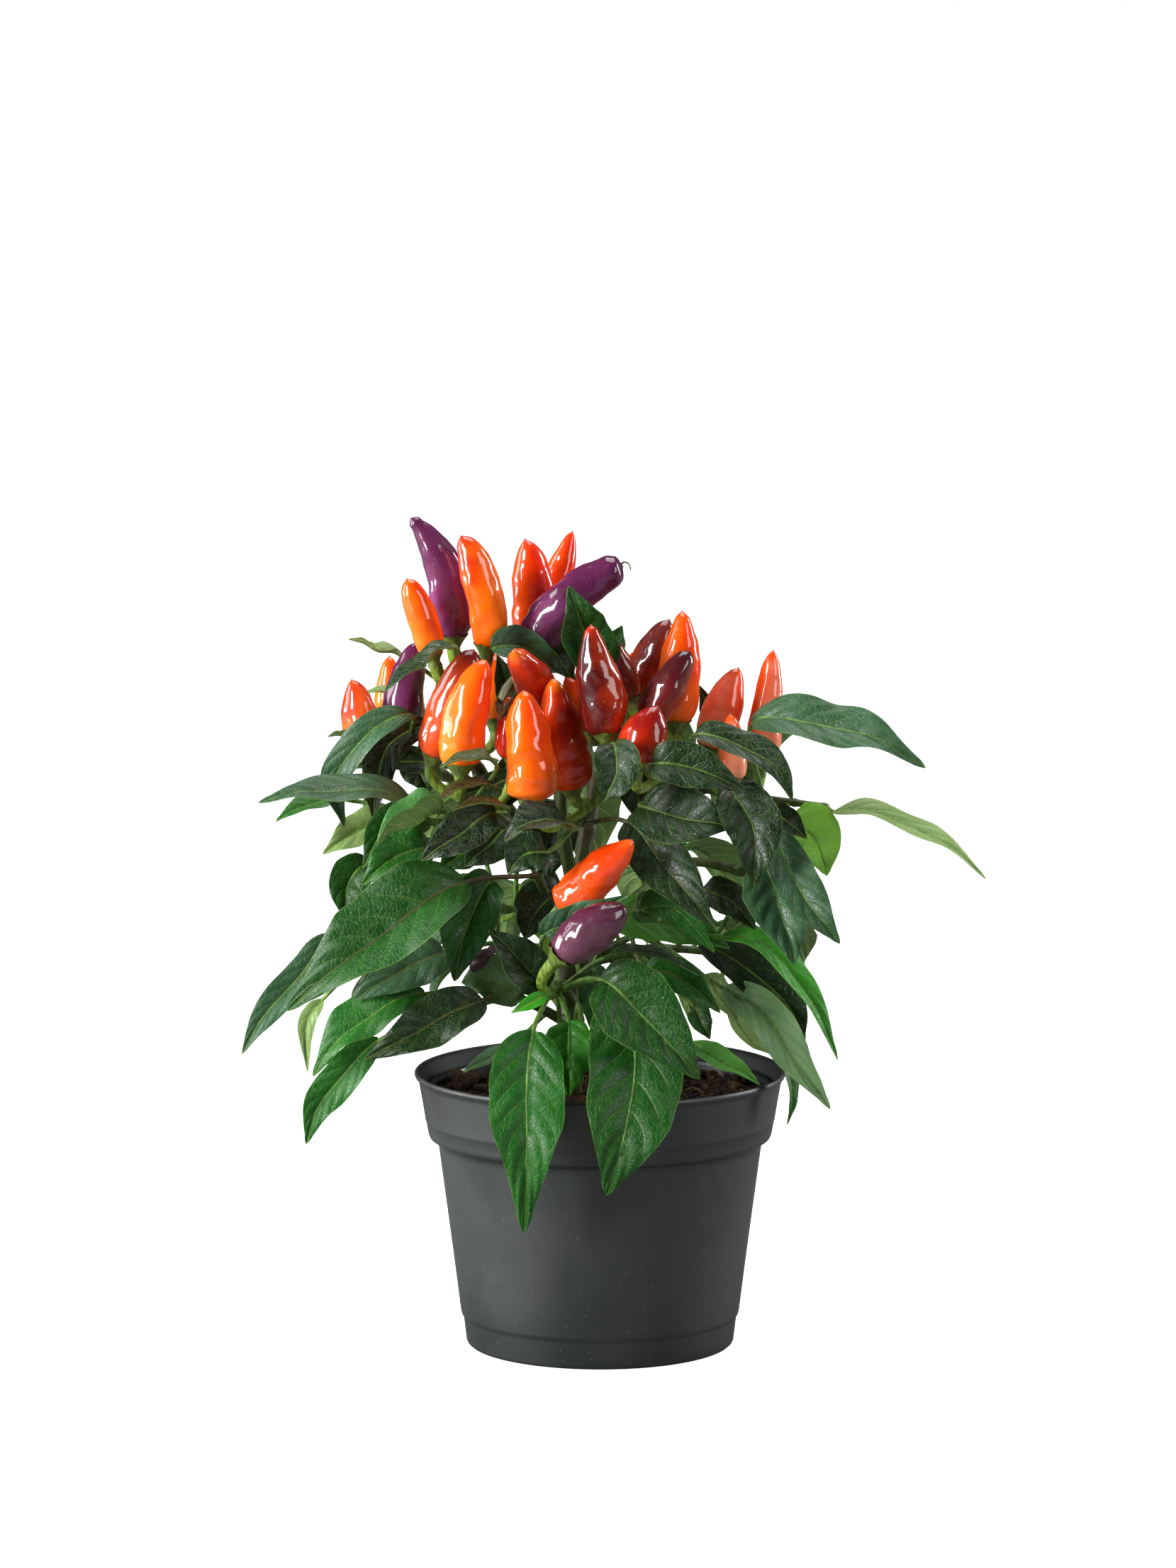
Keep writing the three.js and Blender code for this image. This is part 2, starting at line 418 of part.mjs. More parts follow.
const offset = (f, a, b) => f.at.clone().addScaledVector(f.side, a).addScaledVector(f.up, b);

function circle(f, radius, sides) {
  return Array.from({ length: sides }, (_, i) => {
    const turn = (-2 * Math.PI * i) / sides;
    return offset(f, radius * Math.cos(turn), radius * Math.sin(turn));
  });
}

// Stems, pedicels and calyces

const crossWay = (points) => {
  const run = V(points[points.length - 1]).sub(V(points[0]));
  return Math.abs(run.z) > 0.8 * run.length() ? new THREE.Vector3(1, 0.3, 0) : new THREE.Vector3(0, 0.3, 1);
};

function tube(points, from, to, sides, steps) {
  const curve = through(points);
  const face = crossWay(points);
  const rings = [];
  for (let k = 0; k <= steps; k++) {
    const t = k / steps;
    rings.push(circle(frameAt(curve, t, face), from + (to - from) * t, sides));
  }
  return solidOf(skin(rings));
}

function pointOn(twigs, [which, share]) {
  const point = through(twigs[which].points).getPoint(share);
  return [point.x, point.y, point.z];
}

// A pedicel leaves the twig and turns up under the fruit. The calyx is the cup on its end.

function fruitStalk(twigs, one) {
  const face = new THREE.Vector3(0, -1, 0.1);
  const cup = frameAt(fruitCurve(one), 0, face);
  const start = V(pointOn(twigs, one.on));
  const under = cup.at.clone().addScaledVector(cup.ahead, -CALYX_H);
  const reach = under.distanceTo(start);
  const turn = under.clone().addScaledVector(cup.ahead, -0.5 * reach);
  const route = new THREE.QuadraticBezierCurve3(start, turn, under);
  const rings = [];
  for (let k = 0; k <= STALK_STEPS; k++) {
    const t = k / STALK_STEPS;
    const radius = STALK_R[0] + (STALK_R[1] - STALK_R[0]) * t;
    rings.push(circle(frameAt(route, t, face), radius, STALK_SIDES));
  }
  const top = { ...cup, at: cup.at.clone().addScaledVector(cup.ahead, -GAP) };
  rings.push(circle(top, (one.width / 2) * CALYX_SHARE, STALK_SIDES));
  return solidOf(skin(rings));
}

// Fruits: a bent, tapering pod with a round end

function fruitCurve(one) {
  const a = V(one.base);
  const b = V(one.tip);
  const bulge = V(one.bend);
  const middle = a.clone().lerp(b, 0.5).add(bulge);
  return new THREE.QuadraticBezierCurve3(a, middle, b);
}

function fruitSolid(one) {
  const curve = fruitCurve(one);
  const face = new THREE.Vector3(0, -1, 0.1);
  const rings = FRUIT_RINGS.map(([s, r]) =>
    circle(frameAt(curve, s, face), (r * one.width) / 2, FRUIT_SIDES));
  return solidOf(skin(rings));
}

// Leaves: petiole and blade in one skin, folded along the midrib

function bladeHalfWidth(s, width) {
  const rise = (s / WIDEST) ** SWELL;
  const fall = ((1 - s) / (1 - WIDEST)) ** ((SWELL * (1 - WIDEST)) / WIDEST);
  return (width / 2) * rise * fall;
}

function leafRing(f, half, thick, fold, lift, narrow) {
  const turn = THREE.MathUtils.degToRad(narrow ? 0 : fold);
  const out = half * Math.cos(turn);
  const up = half * Math.sin(turn) + lift;
  const h = thick / 2;
  const top = [offset(f, -out, up + h), offset(f, 0, h), offset(f, out, up + h)];
  const low = [offset(f, out, up - h), offset(f, 0, -h), offset(f, -out, up - h)];
  return narrow ? [top[0], top[2], low[0], low[2]] : [...top, ...low];
}

function bladeSteps(points) {
  const length = through(points).getLength();
  return THREE.MathUtils.clamp(Math.round(length / BLADE_STEP), ...BLADE_STEPS);
}

function leafSolid(twigs, one) {
  const curve = through([pointOn(twigs, one.on), ...one.points]);
  const neck = 1 / one.points.length;
  const face = V(one.face);
  const steps = bladeSteps(one.points);
  const reach = curve.getPoint(0).distanceTo(V(one.points[0]));
  const bends = reach > PETIOLE_STEP ? 2 : 1;
  const narrow = one.width < NARROW;
  const rings = [];
  for (let k = 0; k <= bends; k++) {
    const f = frameAt(curve, (neck * k) / bends, face);
    rings.push(leafRing(f, PETIOLE_R, 2 * PETIOLE_R, 0, 0, narrow));
  }
  for (let k = 1; k <= steps; k++) {
    const s = k / steps;
    const f = frameAt(curve, neck + (1 - neck) * s, face);
    const half = Math.max(bladeHalfWidth(s, one.width), 0.4);
    const lift = WAVE * Math.sin(3 * Math.PI * s) * Math.min(1, half / 4);
    rings.push(k < steps
      ? leafRing(f, half, BLADE_T, one.fold, lift, narrow)
      : leafRing(f, half, BLADE_T, 0, 0, narrow));
  }
  return solidOf(skin(rings));
}

// Pot, inner pot and soil

function turned(profile, sides) {
  const points = profile.map(([r, z]) => new THREE.Vector2(r, z));
  return solidOf(new THREE.LatheGeometry(points, sides).rotateX(Math.PI / 2));
}

function post(x, y, low, high, radius, sides) {
  const shape = new THREE.CylinderGeometry(radius, radius, high - low, sides);
  shape.rotateX(Math.PI / 2).translate(x, y, (low + high) / 2);
  return solidOf(shape);
}

const drains = () => Array.from({ length: DRAINS }, (_, i) => {
  const turn = (2 * Math.PI * i) / DRAINS;
  return post(DRAIN_AT * Math.cos(turn), DRAIN_AT * Math.sin(turn), -1, 3, DRAIN_R, DRAIN_SIDES);
});

function potSolid() {
  const cup = turned([
    [0, 0], [FOOT_R - 1, 0], [FOOT_R, 1.2], [STEP_R - 0.7, STEP_Z - 1], [STEP_R, STEP_Z],
    [SHOULDER_R, SHOULDER_Z], [BAND_LOW_R - 0.8, BAND_LOW_Z - 1.6], [BAND_LOW_R, BAND_LOW_Z],
    [BAND_TOP_R, POT_H - 2.4], [LIP_R, POT_H - 0.8], [LIP_R - 0.6, POT_H],
    [BAND_TOP_R - WALL, POT_H - 1.6], [SHOULDER_R - WALL, SHOULDER_Z + 1], [FOOT_R - 1, 1.6], [0, 1.6],
  ], POT_SIDES);
  return cup.subtract(join(drains()));
}

const LINER_FLOOR = 1.6 + GAP;
const LINER_LOW_R = FOOT_R - 2.4;
const LINER_HIGH_R = SHOULDER_R - WALL - 1;

function linerSolid() {
  const r = LINER_LIP_R;
  return turned([
    [0, LINER_FLOOR], [LINER_LOW_R, LINER_FLOOR], [LINER_HIGH_R, SHOULDER_Z], [r, LINER_TOP - 2.4],
    [r, LINER_TOP - 0.5], [r - LINER_LIP_W / 2, LINER_TOP], [r - LINER_LIP_W, LINER_TOP - 0.5],
    [LINER_HIGH_R - LINER_WALL, SHOULDER_Z], [LINER_LOW_R - LINER_WALL, LINER_FLOOR + LINER_WALL],
    [0, LINER_FLOOR + LINER_WALL],
  ], LINER_SIDES);
}

// The soil's top is a web of spokes and rings with uneven heights, and a few lumps lie on it.

function soilSolid() {
  const chance = seeded(7);
  const snug = Math.cos(Math.PI / SOIL_SPOKES) * Math.cos(Math.PI / LINER_SIDES);
  const room = (r) => (r - LINER_WALL - GAP) * snug;
  const edge = (LINER_LIP_R - LINER_LIP_W - GAP) * snug;
  const floor = LINER_FLOOR + LINER_WALL + GAP;
  const profile = [
    [0, floor], [room(LINER_LOW_R), floor], [room(LINER_HIGH_R), SHOULDER_Z], [edge, SOIL_TOP],
  ];
  for (let k = SOIL_RINGS; k >= 0; k--) {
    profile.push([((edge - 3) * k) / SOIL_RINGS, SOIL_TOP]);
  }
  const points = profile.map(([r, z]) => new THREE.Vector2(r, z));
  const body = mergeVertices(
    new THREE.LatheGeometry(points, SOIL_SPOKES).rotateX(Math.PI / 2).deleteAttribute("uv"), 1e-4);
  body.deleteAttribute("normal");
  const merged = mergeVertices(body, 1e-4);
  const at = merged.attributes.position;
  for (let i = 0; i < at.count; i++) {
    const r = Math.hypot(at.getX(i), at.getY(i));
    if (at.getZ(i) > SOIL_TOP - 0.1 && r < edge - 1) {
      at.setZ(i, SOIL_TOP + SOIL_BUMP * (chance() - 0.35));
    }
  }
  let soil = solidOf(merged);
  for (const [x, y, size] of [[-44, 12, 4.5], [-30, -34, 3.5], [22, -38, 3.5], [30, 26, 4], [-6, 40, 3.5]]) {
    const lump = new THREE.IcosahedronGeometry(size, 0);
    lump.rotateX(x).rotateY(y).translate(x, y, SOIL_TOP + 0.3 * size);
    soil = soil.add(solidOf(lump));
  }
  const foot = TRUNK[0].points[0];
  const hole = post(foot[0], foot[1], foot[2] - GAP, SOIL_TOP + 8, TRUNK[0].radii[0] + 1, 10);
  return soil.subtract(hole);
}

// Assembly: each shoot is trimmed clear of the main stem

const stemParts = (extra) => TRUNK.map(({ radii, points }) =>
  tube(points, radii[0] + extra, radii[1] + extra, STEM_SIDES, TWIG_STEPS));

function shootSolid(one) {
  const wood = one.twigs.map(({ radii, points }) =>
    tube(points, radii[0], radii[1], TWIG_SIDES, TWIG_STEPS));
  const blades = one.leaves.map((l) => leafSolid(one.twigs, l));
  const stalks = one.fruits.map((f) => fruitStalk(one.twigs, f));
  return join([...wood, ...blades, ...stalks]);
}

const plant = new THREE.Group();

function place(name, solid, colour, roughness) {
  const material = new THREE.MeshStandardMaterial({ color: colour, roughness, metalness: 0 });
  const mesh = new THREE.Mesh(geometryOf(solid), material);
  mesh.name = name;
  plant.add(mesh);
}

place("pot", potSolid(), 0x3a3f40, 0.7);
place("inner_pot", linerSolid(), 0x17191a, 0.5);
place("soil", soilSolid(), 0x3a2617, 0.95);
place("main_stem", join(stemParts(0)), 0x6f7a3a, 0.6);

const stemRoom = join(stemParts(GAP));

for (const one of SHOOTS) {
  const solid = largest(shootSolid(one).subtract(stemRoom));
  place(one.name + "_shoot", solid, 0x1f5a1c, 0.45);
  one.fruits.forEach((f, i) => {
    place(one.name + "_fruit_" + (i + 1), fruitSolid(f), COLOURS[f.colour], 0.2);
  });
}

export default plant;
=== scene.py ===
# A chilli pepper plant in a plastic nursery pot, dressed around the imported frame.
# Metres, +Z up, the front towards -Y, the origin in the middle of the pot's flat underside.

import math
import random
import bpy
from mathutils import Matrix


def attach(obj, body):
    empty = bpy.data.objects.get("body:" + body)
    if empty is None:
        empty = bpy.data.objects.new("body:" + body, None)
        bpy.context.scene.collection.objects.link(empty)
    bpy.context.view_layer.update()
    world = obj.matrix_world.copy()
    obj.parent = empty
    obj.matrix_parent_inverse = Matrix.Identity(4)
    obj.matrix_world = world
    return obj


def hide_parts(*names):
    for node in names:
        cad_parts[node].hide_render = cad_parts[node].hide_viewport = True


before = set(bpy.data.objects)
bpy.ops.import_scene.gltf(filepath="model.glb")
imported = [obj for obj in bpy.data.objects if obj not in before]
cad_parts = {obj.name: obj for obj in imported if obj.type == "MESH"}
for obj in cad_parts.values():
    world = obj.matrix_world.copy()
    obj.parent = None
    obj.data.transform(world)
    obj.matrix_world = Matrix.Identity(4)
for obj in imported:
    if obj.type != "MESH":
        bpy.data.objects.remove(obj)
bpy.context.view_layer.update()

from types import SimpleNamespace

import bmesh
import bpy
import numpy as np
from mathutils import Vector, noise

# The outer pot
# A tapered 12 cm nursery pot, injection-moulded in matte dark grey plastic with fine pale specks.
# Its rim band overhangs the wall, and its floor has four drain holes.

MM = 0.001
POT_TURNS = 160
DRAIN_RADIUS = 3.5
DRAIN_FROM_MIDDLE = 28
# Radius and height, from the middle of the underside up the wall, over the lip and down the inside,
# which begins at the row with this number. From there on the pot takes a darker finish: painted shade.
INSIDE_FROM = 32
POT_PROFILE = [
    (0, 0.5), (38, 0.5), (39.2, 0), (41.6, 0), (42.5, 0.2), (43.1, 0.7), (43.4, 1.4), (44.25, 8.6),
    (44.5, 9.4), (44.95, 10), (45.2, 11), (47.6, 30), (50.1, 49), (52.2, 64.9), (52.5, 66.2),
    (53.1, 67.2), (54.4, 67.8), (55.1, 68.2), (55.5, 69), (55.7, 70), (56.35, 73.6), (56.55, 73.9),
    (56.6, 74.4), (57.6, 80.5), (58.6, 86), (58.75, 86.9), (59.2, 87.4), (59.75, 87.8), (60, 88.4),
    (59.95, 89), (59.6, 89.4), (59.05, 89.5), (58.5, 89.2), (57.8, 88.1), (57.4, 86.4), (51.2, 67),
    (49.4, 53), (42.6, 2.6), (41.8, 1.8), (0, 1.6),
]


def paint(code):
    """A colour as seen on a screen, as linear red, green, blue and full cover."""
    parts = [(code >> shift & 255) / 255 for shift in (16, 8, 0)]
    return tuple(p / 12.92 if p <= 0.04045 else ((p + 0.055) / 1.055) ** 2.4 for p in parts) + (1.0,)


def feed(tree, node, inputs):
    """Plain numbers and colours go on a node's own sockets, and changing values are linked to them."""
    for name, value in inputs.items():
        if isinstance(value, bpy.types.NodeSocket):
            tree.links.new(value, node.inputs[name])
        else:
            node.inputs[name].default_value = value


def wire(tree, kind, inputs=None, **settings):
    """One node of a finish, with its settings and what goes into it."""
    made = tree.nodes.new("ShaderNode" + kind)
    for name, value in settings.items():
        setattr(made, name, value)
    feed(tree, made, inputs or {})
    return made


def calc(tree, work, *values):
    """The result of a sum on values that change over the surface."""
    return wire(tree, "Math", dict(enumerate(values)), operation=work).outputs[0]


def span(tree, value, low, high, to_low=0.0, to_high=1.0):
    """A value eased from one range to another, and held at both ends."""
    inputs = {0: value, 1: low, 2: high, 3: to_low, 4: to_high}
    return wire(tree, "MapRange", inputs, interpolation_type="SMOOTHSTEP").outputs[0]


def times(tree, first, second):
    """Two values multiplied."""
    return calc(tree, "MULTIPLY", first, second)


def tinge(tree, share, under, over, way="MIX"):
    """One colour laid over another by a share."""
    made = wire(tree, "Mix", {0: share, 6: under, 7: over}, data_type="RGBA", blend_type=way)
    return made.outputs[2]


def coated(tree, colour, *coats):
    """A colour under several coats, each a share and the colour that it brings."""
    for share, over in coats:
        colour = tinge(tree, share, colour, over)
    return colour


def marked(tree, name):
    """A value that the mesh carries under this name."""
    return wire(tree, "Attribute", attribute_name=name)


def place_on_piece(tree):
    """The place in the piece's own space, in metres."""
    return wire(tree, "TexCoord").outputs["Object"]


def clouds(tree, scale, detail, rough=0.5):
    """Soft noise fixed to the piece, finer with a larger scale."""
    inputs = {"Vector": place_on_piece(tree), "Scale": scale, "Detail": detail, "Roughness": rough}
    return wire(tree, "TexNoise", inputs).outputs[0]


def bumped(tree, strength, depth, height):
    """The surface's direction with fine relief on it."""
    return wire(tree, "Bump", {"Strength": strength, "Distance": depth, "Height": height}).outputs[0]


def new_finish(name):
    """An empty material with its Principled shader, ready for its sockets."""
    finish = bpy.data.materials.new(name)
    finish.use_nodes = True
    return finish, finish.node_tree, finish.node_tree.nodes["Principled BSDF"]


def new_group(name, inputs, outputs):
    """An empty node group with named sockets: (name, kind, first value)."""
    group = bpy.data.node_groups.new(name, "ShaderNodeTree")
    for title, kind, first in inputs:
        socket = group.interface.new_socket(title, in_out="INPUT", socket_type="NodeSocket" + kind)
        socket.default_value = first
    for title, kind in outputs:
        group.interface.new_socket(title, in_out="OUTPUT", socket_type="NodeSocket" + kind)
    return group, group.nodes.new("NodeGroupInput").outputs, group.nodes.new("NodeGroupOutput").inputs


def specked(tree, colour, speck, share):
    """The plastic with its specks, for one of the pots."""
    inputs = {"Colour": paint(colour), "Speck": paint(speck), "Share": share}
    return wire(tree, "Group", inputs, node_tree=specks).outputs


# How a mesh keeps a mark, by how many numbers the mark has at each point.
MARK_KINDS = {1: ("FLOAT", "value"), 3: ("FLOAT_VECTOR", "vector"), 4: ("FLOAT_COLOR", "color")}


def make_piece(name, points, faces, finishes, finish_of_face=None, marks=None, sharp=50):
    """A smooth-shaded piece from points in millimetres, with the marks that its finishes read."""
    mesh = bpy.data.meshes.new(name)
    mesh.from_pydata((np.asarray(points, float) * MM).tolist(), [], faces)
    for finish in finishes:
        mesh.materials.append(finish)
    if finish_of_face is not None:
        mesh.polygons.foreach_set("material_index", finish_of_face)
    for title, values in (marks or {}).items():
        kind, key = MARK_KINDS[values.shape[1]]
        layer = mesh.attributes.new(title, kind, "POINT")
        layer.data.foreach_set(key, values.astype(np.float32).ravel())
    mesh.polygons.foreach_set("use_smooth", [True] * len(mesh.polygons))
    mesh.set_sharp_from_angle(angle=math.radians(sharp))
    mesh.validate()
    piece = bpy.data.objects.new(name, mesh)
    bpy.context.scene.collection.objects.link(piece)
    return piece


def turned(profile, turns):
    """Points and faces of a profile (radius, height) turned about the upright axis."""
    points, faces, rows = [], [], []
    for radius, height in profile:
        if radius == 0:
            rows.append([len(points)] * turns)
            points.append((0, 0, height))
            continue
        rows.append(list(range(len(points), len(points) + turns)))
        for k in range(turns):
            angle = 2 * math.pi * k / turns
            points.append((radius * math.cos(angle), radius * math.sin(angle), height))
    for low, high in zip(rows, rows[1:]):
        for k in range(turns):
            j = (k + 1) % turns
            corners = [low[k], low[j], high[j], high[k]]
            faces.append(list(dict.fromkeys(corners)))
    return points, faces


def drilled(piece, holes, radius, low, high):
    """Round holes cut through the piece between two heights."""
    build = bmesh.new()
    for x, y in holes:
        made = bmesh.ops.create_cone(
            build, cap_ends=True, segments=40, radius1=radius * MM, radius2=radius * MM,
            depth=(high - low) * MM)
        bmesh.ops.translate(build, verts=made["verts"], vec=(x * MM, y * MM, (low + high) / 2 * MM))
    mesh = bpy.data.meshes.new("drill")
    build.to_mesh(mesh)
    build.free()
    drill = bpy.data.objects.new("drill", mesh)
    bpy.context.scene.collection.objects.link(drill)
    cut = piece.modifiers.new("holes", "BOOLEAN")
    cut.operation = "DIFFERENCE"
    cut.object = drill
    cut.solver = "EXACT"
    bpy.context.view_layer.update()
    shape = piece.evaluated_get(bpy.context.evaluated_depsgraph_get())
    cut_mesh = bpy.data.meshes.new_from_object(shape)
    piece.modifiers.clear()
    piece.data = cut_mesh
    bpy.data.objects.remove(drill)


# Pale specks in dark plastic, used by both pots.
specks, given, out = new_group(
    "plastic_specks",
    [("Colour", "Color", paint(0x303435)), ("Speck", "Color", paint(0x8a9090)), ("Size", "Float", 1100.0),
     ("Share", "Float", 0.1)],
    [("Colour", "Color"), ("Height", "Float")])
grain = wire(specks, "TexVoronoi", {"Vector": place_on_piece(specks), "Scale": given["Size"]})
dot = span(specks, grain.outputs["Distance"], 0.08, 0.22, 1.0, 0.0)
chosen = wire(specks, "SeparateColor", {0: grain.outputs["Color"]}).outputs[0]
dotted = times(specks, dot, calc(specks, "LESS_THAN", chosen, given["Share"]))
haze = span(specks, clouds(specks, 22.0, 5.0), 0.3, 0.7, 0.0, 0.14)
plastic = coated(specks, given["Colour"], (haze, paint(0x474d4d)), (dotted, given["Speck"]))
specks.links.new(plastic, out["Colour"])
specks.links.new(clouds(specks, 1900.0, 3.0), out["Height"])

pot_finish, tree, shader = new_finish("pot_plastic_grey")
look = specked(tree, 0x151c19, 0x7c8381, 0.05)
feed(tree, shader, {
    "Base Color": look["Colour"], "Roughness": span(tree, clouds(tree, 34.0, 4.0), 0.3, 0.7, 0.42, 0.56),
    "Normal": bumped(tree, 0.12, 0.0002, look["Height"]), "Specular IOR Level": 0.8})

# The pot's inside: darker, duller plastic that paints the shade in the pot's hollow.
inside_shade_finish, tree, shader = new_finish("pot_plastic_inside_painted_shade")
look = specked(tree, 0x101313, 0x4a4f4e, 0.04)
feed(tree, shader, {"Base Color": look["Colour"], "Roughness": 0.6, "Specular IOR Level": 0.25})

points, faces = turned(POT_PROFILE, POT_TURNS)
shaded_inside_faces = [int(k // POT_TURNS >= INSIDE_FROM) for k in range(len(faces))]
pot = make_piece("outer_pot", points, faces, [pot_finish, inside_shade_finish], shaded_inside_faces, sharp=38)
drains = [(DRAIN_FROM_MIDDLE * math.cos(turn), DRAIN_FROM_MIDDLE * math.sin(turn))
          for turn in (0, math.pi / 2, math.pi, 1.5 * math.pi)]
drilled(pot, drains, DRAIN_RADIUS, -2, 3)
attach(pot, "root")
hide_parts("pot")

# The inner pot
# The thin black pot that the plant was raised in, vacuum-formed, with a rolled satin lip. It stands
# loose inside the outer pot and shows as a bright-edged ring round the soil.

INNER_PROFILE = [
    (0, 1.9), (41, 1.9), (50.2, 66), (53, 74.5), (54.9, 81), (55.4, 82.6), (55.6, 83.6), (55.6, 84.4),
    (55.3, 84.8), (54.65, 85), (54, 84.8), (53.7, 84.3), (53.6, 83.4), (53.4, 81.4), (52.1, 74.5),
    (49.3, 66), (40.1, 2.8), (0, 2.8),
]
inner_finish, tree, shader = new_finish("inner_pot_black")
look = specked(tree, 0x0e1011, 0x484c4c, 0.04)
feed(tree, shader, {
    "Base Color": look["Colour"], "Roughness": 0.3, "Normal": bumped(tree, 0.08, 0.0002, look["Height"])})
inner_pot = make_piece("inner_pot_shell", *turned(INNER_PROFILE, 120), [inner_finish], sharp=60)
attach(inner_pot, "root")
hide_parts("inner_pot")

# The soil
# Moist dark peat, crumbly, with pale root fibres and a few lumps. It fills the inner pot to just below
# its lip.

SOIL_LEVEL = 81.6
SOIL_EDGE = 52.9
SOIL_RINGS = 34
SOIL_TURNS = 96
SOIL_SIDES = [(0, 3.1), (39.8, 3.1), (49, 66), (SOIL_EDGE, SOIL_LEVEL - 1)]
# Each lump's place and size.
SOIL_LUMPS = [
    (-44, 12, 5.2), (-45, 18, 5.6), (-39, 24, 4.4), (-47, 3, 3.8), (-30, -34, 3.8), (22, -38, 3.6),
    (30, 26, 4.2), (-6, 40, 3.6), (-38, 2, 3.4), (-46, 20, 3.2), (40, -26, 3), (44, -8, 3.2),
    (-48, -14, 3),
]
CRUMBS = 900
CRUMB_SIZES = [0.6, 0.8, 1.0, 1.2, 1.6, 2.1]
FIBRES = 150
dice = random.Random(11)


def ground(x, y):
    """The soil's height under a place on its surface."""
    rough = 1.5 * noise.noise(Vector((x, y, 3)) * 0.11) + 1.0 * noise.noise(Vector((x, y, 9)) * 0.33)
    return SOIL_LEVEL + rough + 0.5 * noise.noise(Vector((x, y, 5)) * 0.9)


def strewn(limit):
    """A chance place on the soil within a radius."""
    radius, angle = limit * math.sqrt(dice.random()), dice.uniform(0, 2 * math.pi)
    return radius * math.cos(angle), radius * math.sin(angle)


def peat_body():
    """The filling: a rough top in rings, and plain sides and floor down the inner pot."""
    top = [(SOIL_EDGE * k / SOIL_RINGS, SOIL_LEVEL) for k in range(SOIL_RINGS - 1, -1, -1)]
    points, faces = turned(SOIL_SIDES + top, SOIL_TURNS)
    first = 1 + SOIL_TURNS * (len(SOIL_SIDES) - 1)
    return points[:first] + [(x, y, ground(x, y)) for x, y, _ in points[first:]], faces


def pebble_form():
    """A round form of 80 faces, to be dented into crumbs."""
    build = bmesh.new()
    bmesh.ops.create_icosphere(build, subdivisions=2, radius=1)
    points = np.array([v.co[:] for v in build.verts])
    faces = [[v.index for v in f.verts] for f in build.faces]
    build.free()
    return points, faces


PEBBLE, PEBBLE_FACES = pebble_form()


def crumb(x, y, z, size):
    """One dented crumb of peat, turned any way round."""
    seed = Vector((x, y, z)) * 3.1
    dents = [0.72 + 0.75 * noise.noise(Vector(p) * 1.3 + seed) + 0.35 * noise.noise(Vector(p) * 3.4 + seed)
             for p in PEBBLE]
    shape = PEBBLE * np.array(dents)[:, None] * np.array(
        [dice.uniform(0.75, 1.3), dice.uniform(0.75, 1.3), dice.uniform(0.5, 0.9)])
    turn = dice.uniform(0, 6.28)
    tilt = np.array([[math.cos(turn), -math.sin(turn), 0], [math.sin(turn), math.cos(turn), 0], [0, 0, 1]])
    return shape @ tilt * size + (x, y, z)


class Heap:
    """Several closed shells gathered into one piece, with the marks on their points."""

    def __init__(self, **usual):
        self.points, self.faces, self.finish, self.marks, self.usual = [], [], [], {}, usual

    def add(self, points, faces, finish=0, **marks):
        """One more shell. A mark has a value for each point, or one for the whole shell."""
        before, count = sum(map(len, self.points)), len(points)
        self.faces += [[i + before for i in face] for face in faces]
        self.finish += [finish] * len(faces)
        for title, values in {**self.usual, **marks}.items():
            each = np.ndim(values) > 0 and len(values) == count
            spread = np.reshape(values, (count, -1)) if each else np.tile(values, (count, 1))
            self.marks.setdefault(title, []).append(spread)
        self.points.append(points)

    def piece(self, name, finishes, sharp=50):
        marks = {title: np.concatenate(rows) for title, rows in self.marks.items()}
        points = np.concatenate(self.points)
        return make_piece(name, points, self.faces, finishes, self.finish, marks, sharp)


def skin(rings):
    """Rings of points, alike in number, closed into one shell whose faces look outwards."""
    rings = np.asarray(rings, float)
    rows, n = rings.shape[:2]
    faces = []
    for i in range(rows - 1):
        a, b = i * n, (i + 1) * n
        faces += [[b + j, b + (j + 1) % n, a + (j + 1) % n, a + j] for j in range(n)]
    faces.append(list(range(n)))
    faces.append(list(range(rows * n - 1, (rows - 1) * n - 1, -1)))
    return rings.reshape(-1, 3), faces


def unit(v):
    """A direction of length 1."""
    return v / max(np.linalg.norm(v), 1e-9)


def held(value):
    """A share kept from 0 to 1."""
    return min(max(value, 0), 1)


def through(points, shares):
    """Places on the smooth curve through the points, with the direction of the curve at each."""
    p = np.array(points, float)
    p = np.vstack([2 * p[0] - p[1], p, 2 * p[-1] - p[-2]])
    last = len(points) - 1

    def at(share):
        place = held(share) * last
        i = min(int(place), last - 1)
        w = place - i
        a, b, c, d = p[i:i + 4]
        g = [max(np.linalg.norm(v) ** 0.5, 1e-4) for v in (b - a, c - b, d - c)]
        leave = ((b - a) / g[0] - (c - a) / (g[0] + g[1]) + (c - b) / g[1]) * g[1]
        reach = ((c - b) / g[1] - (d - b) / (g[1] + g[2]) + (d - c) / g[2]) * g[1]
        turn = -3 * b + 3 * c - 2 * leave - reach
        return b + leave * w + turn * w ** 2 + (2 * b - 2 * c + leave + reach) * w ** 3

    step = 1e-3
    return [(at(s), unit(at(min(s + step, 1)) - at(max(s - step, 0)))) for s in shares]


def bowed(start, middle, end, shares):
    """The same for a curve of one bow, with its middle point pulling it aside."""
    a, b, c = (np.array(v, float) for v in (start, middle, end))
    return [((1 - s) ** 2 * a + 2 * s * (1 - s) * b + s * s * c,
             unit((1 - s) * (b - a) + s * (c - b))) for s in shares]


def sides_of(ahead, face):
    """The directions to the side and up out of a face, square to the way ahead."""
    side = unit(np.cross(ahead, face))
    return side, unit(np.cross(side, ahead))


